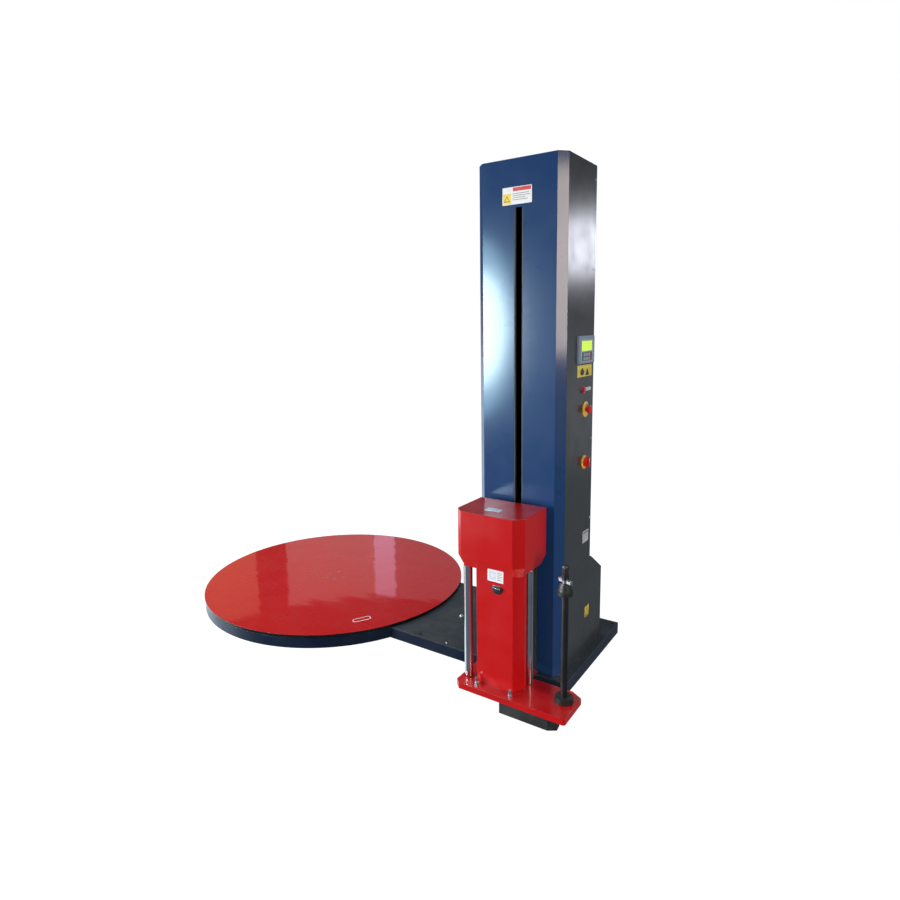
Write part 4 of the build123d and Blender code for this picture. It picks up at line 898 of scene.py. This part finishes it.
# ---- operators: trim
def screw_profile(trim):
    """Half outline of a pan head with a round-bottomed socket, from its seat to the socket's floor."""
    radius, height = trim.screw_radius, trim.screw_height
    bend = np.linspace(0, math.pi / 2, 5)
    dome = [(radius * (0.62 + 0.38 * math.cos(t)), height * (0.25 + 0.75 * math.sin(t))) for t in bend]
    socket = [(0.40 * radius, height), (0.36 * radius, 0.9 * height), (0.34 * radius, 0.35 * height)]
    return [(0.0, 0.0), (radius, 0.0), *dome, *socket, (0.0, 0.3 * height)]


class WRAPPER_OT_cover_screws(Step):
    """Screw down the panels, the housing, the base cover and the carriage's covers"""

    bl_idname = "wrapper.cover_screws"
    bl_label = "Cover screws"

    def execute(self, context):
        trim = context.scene.wrapper_trim
        points, faces = lathe(screw_profile(trim), trim.screw_sides)
        zinc = metal("screw_zinc", (0.55, 0.56, 0.58), roughness=0.3, line_scale=(200.0, 200.0, 200.0))
        inset, end = trim.screw_inset, 60 * MM
        low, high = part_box("mast_rear_panel")
        levels = np.linspace(low.z + end, high.z - end, 6)
        rear = [(x, high.y, z) for x in (low.x + inset, high.x - inset) for z in levels]
        low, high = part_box("rear_housing")
        levels = np.linspace(0.10, 0.40, 3)
        housing = [(x, high.y, z) for x in (low.x + inset, high.x - inset) for z in levels]
        low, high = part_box("mast_left_panel")
        left = [(low.x, high.y - inset, z) for z in np.linspace(low.z + 0.55, high.z - end, 6)]
        low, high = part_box("mast_right_panel")
        right = [(high.x, high.y - inset, z) for z in np.linspace(0.75, high.z - end, 5)]
        low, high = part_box("link_cover")
        edge = high.y - 22 * MM
        cover = [(x, y, high.z) for x in np.linspace(1.10, 1.62, 3) for y in (-edge, edge)]
        low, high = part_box("head_cover")
        head = [(low.x, high.y - 40 * MM, z) for z in (low.z + 80 * MM, high.z - 30 * MM)]
        sets = (
            ("rear_panel_screws", rear, (-1, 0, 0), (0, 0, 1), "base"),
            ("housing_screws", housing, (-1, 0, 0), (0, 0, 1), "base"),
            ("left_panel_screws", left, (0, -1, 0), (0, 0, 1), "base"),
            ("right_panel_screws", right, *SIDE, "base"),
            ("base_cover_screws", cover, *TOP, "base"),
            ("head_cover_screws", head, (0, -1, 0), (0, 0, 1), "carriage"),
        )
        for name, spots, across, up, body in sets:
            many, quads = copies(points, faces, spots, across, up)
            add_piece(name, many, quads, body, zinc)
        return {"FINISHED"}


class WRAPPER_OT_base_fixing(Step):
    """Set the bright adjuster with its washer in the base cover"""

    bl_idname = "wrapper.base_fixing"
    bl_label = "Base fixing"

    def execute(self, context):
        spot = (1.0, -35 * MM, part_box("link_cover")[1].z)
        profile = np.array([
            (0, 0), (13, 0), (13, 1.6), (12.2, 2.2), (7.5, 2.2), (7.5, 7.0), (6.5, 8.0), (2.6, 8.0),
            (2.4, 4.0), (0, 3.6)]) * MM
        points, faces = lathe(profile, 32)
        pale = metal("adjuster_zinc", (0.80, 0.80, 0.80), roughness=0.35, dirt=0.1)
        add_piece("base_adjuster", points.reshape(-1, 3) + np.array(spot), faces, "base", pale)
        return {"FINISHED"}


class WRAPPER_OT_panel_trim(Step):
    """Frame the screen and the keys on the operator panel"""

    bl_idname = "wrapper.panel_trim"
    bl_label = "Operator panel trim"

    def execute(self, context):
        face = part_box("operator_panel")[1].x
        corner = 2 * MM
        grey = moulded("trim_grey", (0.33, 0.39, 0.50), roughness=0.35, coat=0.2)
        section = np.array(((0.5, 0.0), (6.0, 0.0), (5.2, 1.4), (4.0, 2.0), (2.0, 1.8), (0.8, 0.8))) * MM
        for name, framed in (("screen_trim", "operator_screen"), ("key_trim", "membrane_keypad")):
            low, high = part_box(framed)
            points, faces = framed_ring(high.y - low.y, high.z - low.z, corner, section)
            middle = (face, *centre(framed)[1:])
            add_piece(name, place(points, middle, *SIDE), faces, "base", grey)
        return {"FINISHED"}


class WRAPPER_OT_switch_trim(Step):
    """Add the collar of the start button and the pointer on the main switch"""

    bl_idname = "wrapper.switch_trim"
    bl_label = "Switch trim"

    def execute(self, context):
        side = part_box("mast_right_panel")[1].x
        profile = np.array([
            (11.9, 6.0), (15.6, 6.0), (15.6, 1.2), (17.5, 0.0), (18.0, 0.0), (17.6, 2.0), (16.4, 6.8),
            (14.0, 7.6), (11.9, 7.0), (11.9, 6.0)]) * MM
        points, faces = lathe(profile, 40)
        crimson = moulded("collar_crimson", (0.46, 0.008, 0.06), roughness=0.25, coat=0.6,
                          grain=(600.0, 0.08))
        points = place(points.reshape(-1, 3), (side, *centre("start_button_cap")[1:]), *SIDE)
        add_piece("button_collar", points, faces, "base", crimson)
        points, faces = slab(22 * MM, 2.6 * MM, 1.2 * MM, 0.5 * MM, 0.2 * MM)
        grip = centre("main_switch_handle")
        spot = (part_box("main_switch_handle")[1].x, grip[1], grip[2] + 12 * MM)
        white = moulded("pointer_white", (0.80, 0.80, 0.78), roughness=0.4)
        add_piece("switch_pointer", place(points, spot, (0, 0, 1), (0, -1, 0)), faces, "main_switch",
                  white)
        return {"FINISHED"}


class WRAPPER_OT_spindle_trim(Step):
    """Give the spindle its fluted knob and the rubber rings of the core expander"""

    bl_idname = "wrapper.spindle_trim"
    bl_label = "Spindle trim"

    def execute(self, context):
        middle = centre("core_seat") * (1, 1, 0)
        self.add_knob(middle)
        self.add_rings(middle)
        return {"FINISHED"}

    def add_knob(self, middle):
        """A sleeve with 18 shallow flutes round the post's top."""
        flutes, flute_depth, bore, height = 18, 0.035, 11.9 * MM, 38 * MM
        angle = np.linspace(0, 2 * math.pi, 8 * flutes, endpoint=False)
        levels = np.array((0, 0, 2, 4, 28, 31, 32.5, 32.5)) * MM
        swell = np.array((bore, 12.2 * MM, 13.2 * MM, 13.6 * MM, 13.6 * MM, 12.9 * MM, 12.1 * MM, bore))
        fluted = np.array((0, 1, 1, 1, 1, 1, 1, 0))
        radius = swell[:, None] * (1.0 + flute_depth * fluted[:, None] * np.cos(flutes * angle)[None, :])
        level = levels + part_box("film_spindle_post")[1].z - height
        points = np.stack((radius * np.cos(angle), radius * np.sin(angle),
                           np.broadcast_to(level[:, None], radius.shape)), -1) + middle
        black = moulded("knob_plastic", (0.012, 0.012, 0.014), roughness=0.35, coat=0.3)
        add_piece("spindle_knob", points, grid_faces(*points.shape[:2], closed_rows=True), "film_spindle",
                  black, angle=60)

    def add_rings(self, middle):
        """Two rubber rings let into the expander."""
        seat_radius, wire = 30.2 * MM, 1.6 * MM
        turn = np.linspace(0, 2 * math.pi, 12, endpoint=False)
        section = np.column_stack((seat_radius + wire * np.cos(turn), wire * np.sin(turn)))
        shape = lathe(section, 64)[0]
        faces = grid_faces(*shape.shape[:2], closed_rows=True)
        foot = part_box("core_expander")[0].z
        spots = [middle + (0, 0, foot + rise * MM) for rise in (14.0, 18.5)]
        many, faces = copies(shape, faces, spots, *TOP)
        add_piece("expander_rings", many, faces, "film_spindle",
                  moulded("ring_rubber", (0.014, 0.014, 0.014), roughness=0.65))


class WRAPPER_OT_latch_trim(Step):
    """Back the latch with its black plate and line its grip with bright metal"""

    bl_idname = "wrapper.latch_trim"
    bl_label = "Latch trim"

    def execute(self, context):
        low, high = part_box("cover_latch")
        latch = centre("cover_latch")
        self.add_plate((latch[0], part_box("column_cover")[0].y, latch[2]))
        points, faces = slab(high.x - low.x - 8 * MM, 4.5 * MM, 2.0 * MM, 0.5 * MM, 0.2 * MM)
        points = place(points, (latch[0], low.y, latch[2] + 1.5 * MM), *FRONT)
        bright = metal("latch_zinc", (0.66, 0.68, 0.72), roughness=0.25, line_scale=(90.0, 90.0, 90.0))
        add_piece("latch_line", points, faces, "cover_latch", bright)
        return {"FINISHED"}

    def add_plate(self, middle):
        """A shield: nearly flat at the top and drawn in to a rounded point below."""
        half_width, above, below, thickness = 24 * MM, 12 * MM, 26 * MM, 1.5
        turn = np.linspace(0, 2 * math.pi, 48, endpoint=False)
        side, rise = np.cos(turn), np.sin(turn)
        across = half_width * np.sign(side) * np.sqrt(np.abs(side))
        up = np.where(rise > 0, above * np.abs(rise) ** 0.35, -below * np.abs(rise) ** 1.1)
        rings = [np.column_stack((across * grow, up * grow, np.full(len(turn), level * MM)))
                 for grow, level in ((0.0, 0.0), (1.0, 0.0), (1.0, 1.1), (0.96, thickness), (0.0, thickness))]
        black = moulded("latch_plate_plastic", (0.010, 0.010, 0.012), roughness=0.32, coat=0.4)
        add_piece("latch_plate", place(np.stack(rings), middle, *FRONT), grid_faces(5, len(turn)),
                  "carriage", black)


# ---- operator: stage
def add_softbox(name, middle, towards, size, radiance, colour, shape="RECTANGLE", spread=180.0,
                hidden_from=()):
    """A flat light whose power gives the wanted radiance, turned to a point; some rays may pass it by."""
    light = bpy.data.lights.new(name, "AREA")
    light.shape = shape
    light.size, light.size_y = size
    light.energy = radiance * math.pi * size[0] * size[1]
    light.color = colour
    light.spread = math.radians(spread)
    lamp = bpy.data.objects.new(name, light)
    bpy.context.scene.collection.objects.link(lamp)
    aim = np.array(towards, float) - np.array(middle, float)
    back = -aim / np.linalg.norm(aim)
    across = np.cross((0, 0, 1), back)
    across = across / np.linalg.norm(across)
    up = np.cross(back, across)
    turned = np.eye(4)
    turned[:3, 0], turned[:3, 1], turned[:3, 2], turned[:3, 3] = across, up, back, middle
    lamp.matrix_world = Matrix(turned.tolist())
    for rays in ("camera", *hidden_from):
        setattr(lamp, "visible_" + rays, False)


class WRAPPER_OT_stage(Step):
    """Lay the pale floor, hang the soft lights, light the background and set the camera"""

    bl_idname = "wrapper.stage"
    bl_label = "Stage"

    def execute(self, context):
        stage = context.scene.wrapper_stage
        self.add_floor(stage)
        self.add_sky(context, stage)
        self.add_lights()
        self.add_windows()
        self.add_camera(context, stage)
        return {"FINISHED"}

    def add_floor(self, stage):
        """A round pale floor: rings of points whose radius grows by squares."""
        rings, sides = 12, 64
        radius = stage.floor_radius * np.linspace(0, 1, rings)[:, None] ** 2
        angle = np.linspace(0, 2 * math.pi, sides, endpoint=False)
        points = np.stack((radius * np.cos(angle), radius * np.sin(angle), np.zeros((rings, sides))), -1)
        mesh = bpy.data.meshes.new("floor")
        mesh.from_pydata(points.reshape(-1, 3).tolist(), [], grid_faces(rings, sides).tolist())
        floor = bpy.data.objects.new("floor", mesh)
        bpy.context.scene.collection.objects.link(floor)
        material, tree, shader = new_material("floor_paint", Roughness=0.9, Specular_IOR_Level=0.0)
        clouds = ramp(tree, noise(tree, object_place(tree), 1.5, 4.0), 0.3, 0.7)
        tree.links.new(mix_colour(tree, clouds, (0.20, 0.20, 0.20), (0.21, 0.21, 0.21)),
                       shader.inputs["Base Color"])
        shader.inputs["Emission Color"].default_value = (1.0, 1.0, 1.0, 1.0)
        shader.inputs["Emission Strength"].default_value = stage.floor_glow
        mesh.materials.append(material)
        floor.visible_diffuse = floor.visible_glossy = False

    def add_sky(self, context, stage):
        """White to the eye, soft light from overhead, and a pale ground that only reflections meet."""
        world = bpy.data.worlds.new("studio")
        context.scene.world = world
        world.use_nodes = True
        tree = world.node_tree
        tree.nodes.clear()
        direction = node(tree, "ShaderNodeTexCoord").outputs["Generated"]
        parted = node(tree, "ShaderNodeSeparateXYZ", {0: direction})
        up = parted.outputs["Z"]
        ray = node(tree, "ShaderNodeLightPath")
        left = ramp(tree, parted.outputs["X"], -0.80, -0.55, 1.20, 0.08)
        ground = times(tree, ramp(tree, up, -0.10, 0.0, 1.0, 0.0), ray.outputs["Is Glossy Ray"])
        strength = plus(tree, ramp(tree, up, 0.45, 1.0, 0.15 * stage.sky, 1.5 * stage.sky),
                         times(tree, ground, left))
        soft = node(tree, "ShaderNodeBackground", {"Color": (0.80, 0.92, 1.0, 1.0), "Strength": strength})
        white = node(tree, "ShaderNodeBackground", {"Color": (1.0, 1.0, 1.0, 1.0), "Strength": 1.0})
        both = node(tree, "ShaderNodeMixShader", {
            0: ray.outputs["Is Camera Ray"], 1: soft.outputs[0], 2: white.outputs[0]})
        out = node(tree, "ShaderNodeOutputWorld")
        tree.links.new(both.outputs[0], out.inputs["Surface"])

    def add_lights(self):
        """Softboxes that show in the mast's gloss paint, and others that fill."""
        warm_white, blue_white = (1.0, 0.99, 0.97), (0.88, 0.90, 1.0)
        mast = (centre("mast_front_panel")[0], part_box("mast_front_panel")[0].y, 1.3)
        table = (0.0, 0.0, 0.075)
        add_softbox("key", (-3.0, -3.9, 1.5), (1.0, -0.3, 0.7), (2.4, 1.6), 34.0, warm_white)
        add_softbox("front_softbox", (-0.25, -2.95, 1.65), mast, (0.62, 1.7), 12.0, (0.46, 0.84, 1.0),
                    shape="ELLIPSE", hidden_from=("diffuse",))
        add_softbox("front_core", (-0.30, -2.95, 1.65), mast, (0.60, 1.15), 30.0, (0.80, 0.95, 1.0),
                    shape="ELLIPSE", hidden_from=("diffuse",))
        add_softbox("right_softbox", (4.3, -1.45, 2.2), mast, (0.9, 1.6), 15.0, (1.0, 0.84, 0.70),
                    hidden_from=("diffuse",))
        add_softbox("right_fill", (4.3, -1.9, 0.80), (1.65, -0.5, 0.8), (1.0, 0.6), 34.0, (1.0, 0.97, 0.94),
                    hidden_from=("glossy",))
        add_softbox("rear_softbox", (2.95, 2.75, 2.40), (1.735, 0.0, 2.0), (0.8, 0.55), 7.0, blue_white,
                    shape="ELLIPSE")
        add_softbox("rear_fill", (2.95, 2.9, 1.0), (1.9, 0.0, 1.1), (1.2, 1.4), 0.2, (0.95, 0.97, 1.0),
                    shape="ELLIPSE")
        add_softbox("table_light", (-1.6, 0.3, 3.4), table, (1.5, 1.5), 1.2, (1.0, 0.98, 0.96), spread=70.0)
        add_softbox("overhead", (0.6, -0.6, 5.2), (0.9, 0.0, 0.5), (3.0, 2.0), 0.4, warm_white)

    def add_windows(self):
        """Dim upright panes behind the turntable, which show as bands in its gloss paint."""
        panes = (
            ("window_left", (-3.68, 1.75, 1.45), (0.84, 1.3), 0.55, (1.0, 0.56, 0.33)),
            ("window_middle", (-2.80, 2.77, 1.45), (1.13, 1.1), 0.50, (1.0, 0.82, 0.78)),
            ("window_bright", (-2.30, 3.25, 1.50), (0.27, 1.0), 1.4, (0.90, 0.72, 1.0)),
            ("window_dull", (-1.78, 3.69, 1.45), (1.10, 1.3), 0.26, (0.90, 0.95, 1.0)),
            ("window_right", (-0.35, 3.30, 2.10), (1.3, 1.0), 0.15, (1.0, 0.84, 0.92)),
        )
        for name, spot, size, radiance, colour in panes:
            add_softbox(name, spot, (0.4, -0.3, spot[2]), size, radiance, colour)

    def add_camera(self, context, stage):
        """The camera stands off the carriage's side, turned to the turntable, and looks slightly down."""
        camera = bpy.data.cameras.new("camera")
        camera.lens, camera.sensor_width = stage.lens, 36.0
        camera.shift_x, camera.shift_y = stage.shift_x, stage.shift_y
        camera.clip_end = 200.0
        eye = bpy.data.objects.new("camera", camera)
        context.scene.collection.objects.link(eye)
        yaw, pitch, roll = stage.camera_yaw, stage.camera_pitch, stage.camera_roll
        ahead = np.array((-math.sin(yaw) * math.cos(pitch), math.cos(yaw) * math.cos(pitch), math.sin(pitch)))
        level = np.array((math.cos(yaw), math.sin(yaw), 0.0))
        upright = np.cross(level, ahead)
        across = math.cos(roll) * level + math.sin(roll) * upright
        up = math.cos(roll) * upright - math.sin(roll) * level
        turned = np.eye(4)
        turned[:3, 0], turned[:3, 1], turned[:3, 2], turned[:3, 3] = across, up, -ahead, stage.camera_place
        eye.matrix_world = Matrix(turned.tolist())
        context.scene.camera = eye
        context.scene.view_settings.view_transform = "Standard"


# ---- panel and registration
STEPS = (
    WRAPPER_OT_table_finish, WRAPPER_OT_base_finish, WRAPPER_OT_mast_finish, WRAPPER_OT_drive_finish,
    WRAPPER_OT_carriage_finish, WRAPPER_OT_control_finish, WRAPPER_OT_mast_labels, WRAPPER_OT_side_labels,
    WRAPPER_OT_carriage_labels, WRAPPER_OT_table_mark, WRAPPER_OT_cover_screws, WRAPPER_OT_base_fixing,
    WRAPPER_OT_panel_trim, WRAPPER_OT_switch_trim, WRAPPER_OT_spindle_trim, WRAPPER_OT_latch_trim,
    WRAPPER_OT_stage,
)


class WRAPPER_PT_looks(bpy.types.Panel):
    """Lists the steps and the sizes and colours they use"""

    bl_idname = "WRAPPER_PT_looks"
    bl_label = "Pallet wrapper"
    bl_space_type = "VIEW_3D"
    bl_region_type = "UI"
    bl_category = "Wrapper"

    def draw(self, context):
        for name in PROPERTIES:
            settings = getattr(context.scene, name)
            box = self.layout.box()
            for key in settings.bl_rna.properties.keys():
                if key not in ("rna_type", "name"):
                    box.prop(settings, key)
        for step in STEPS:
            self.layout.operator(step.bl_idname)


PROPERTIES = {
    "wrapper_paints": WrapperPaints,
    "wrapper_labels": WrapperLabels,
    "wrapper_trim": WrapperTrim,
    "wrapper_stage": WrapperStage,
}


def register():
    """Register the settings, the steps and the panel."""
    for kind in (*PROPERTIES.values(), *STEPS, WRAPPER_PT_looks):
        bpy.utils.register_class(kind)
    for name, kind in PROPERTIES.items():
        setattr(bpy.types.Scene, name, PointerProperty(type=kind))


def unregister():
    """Undo what register did."""
    for name in PROPERTIES:
        delattr(bpy.types.Scene, name)
    for kind in reversed((*PROPERTIES.values(), *STEPS, WRAPPER_PT_looks)):
        bpy.utils.unregister_class(kind)


def main():
    """Run every step in order."""
    register()
    for step in STEPS:
        area, name = step.bl_idname.split(".")
        getattr(getattr(bpy.ops, area), name)()


if __name__ == "__main__":
    main()
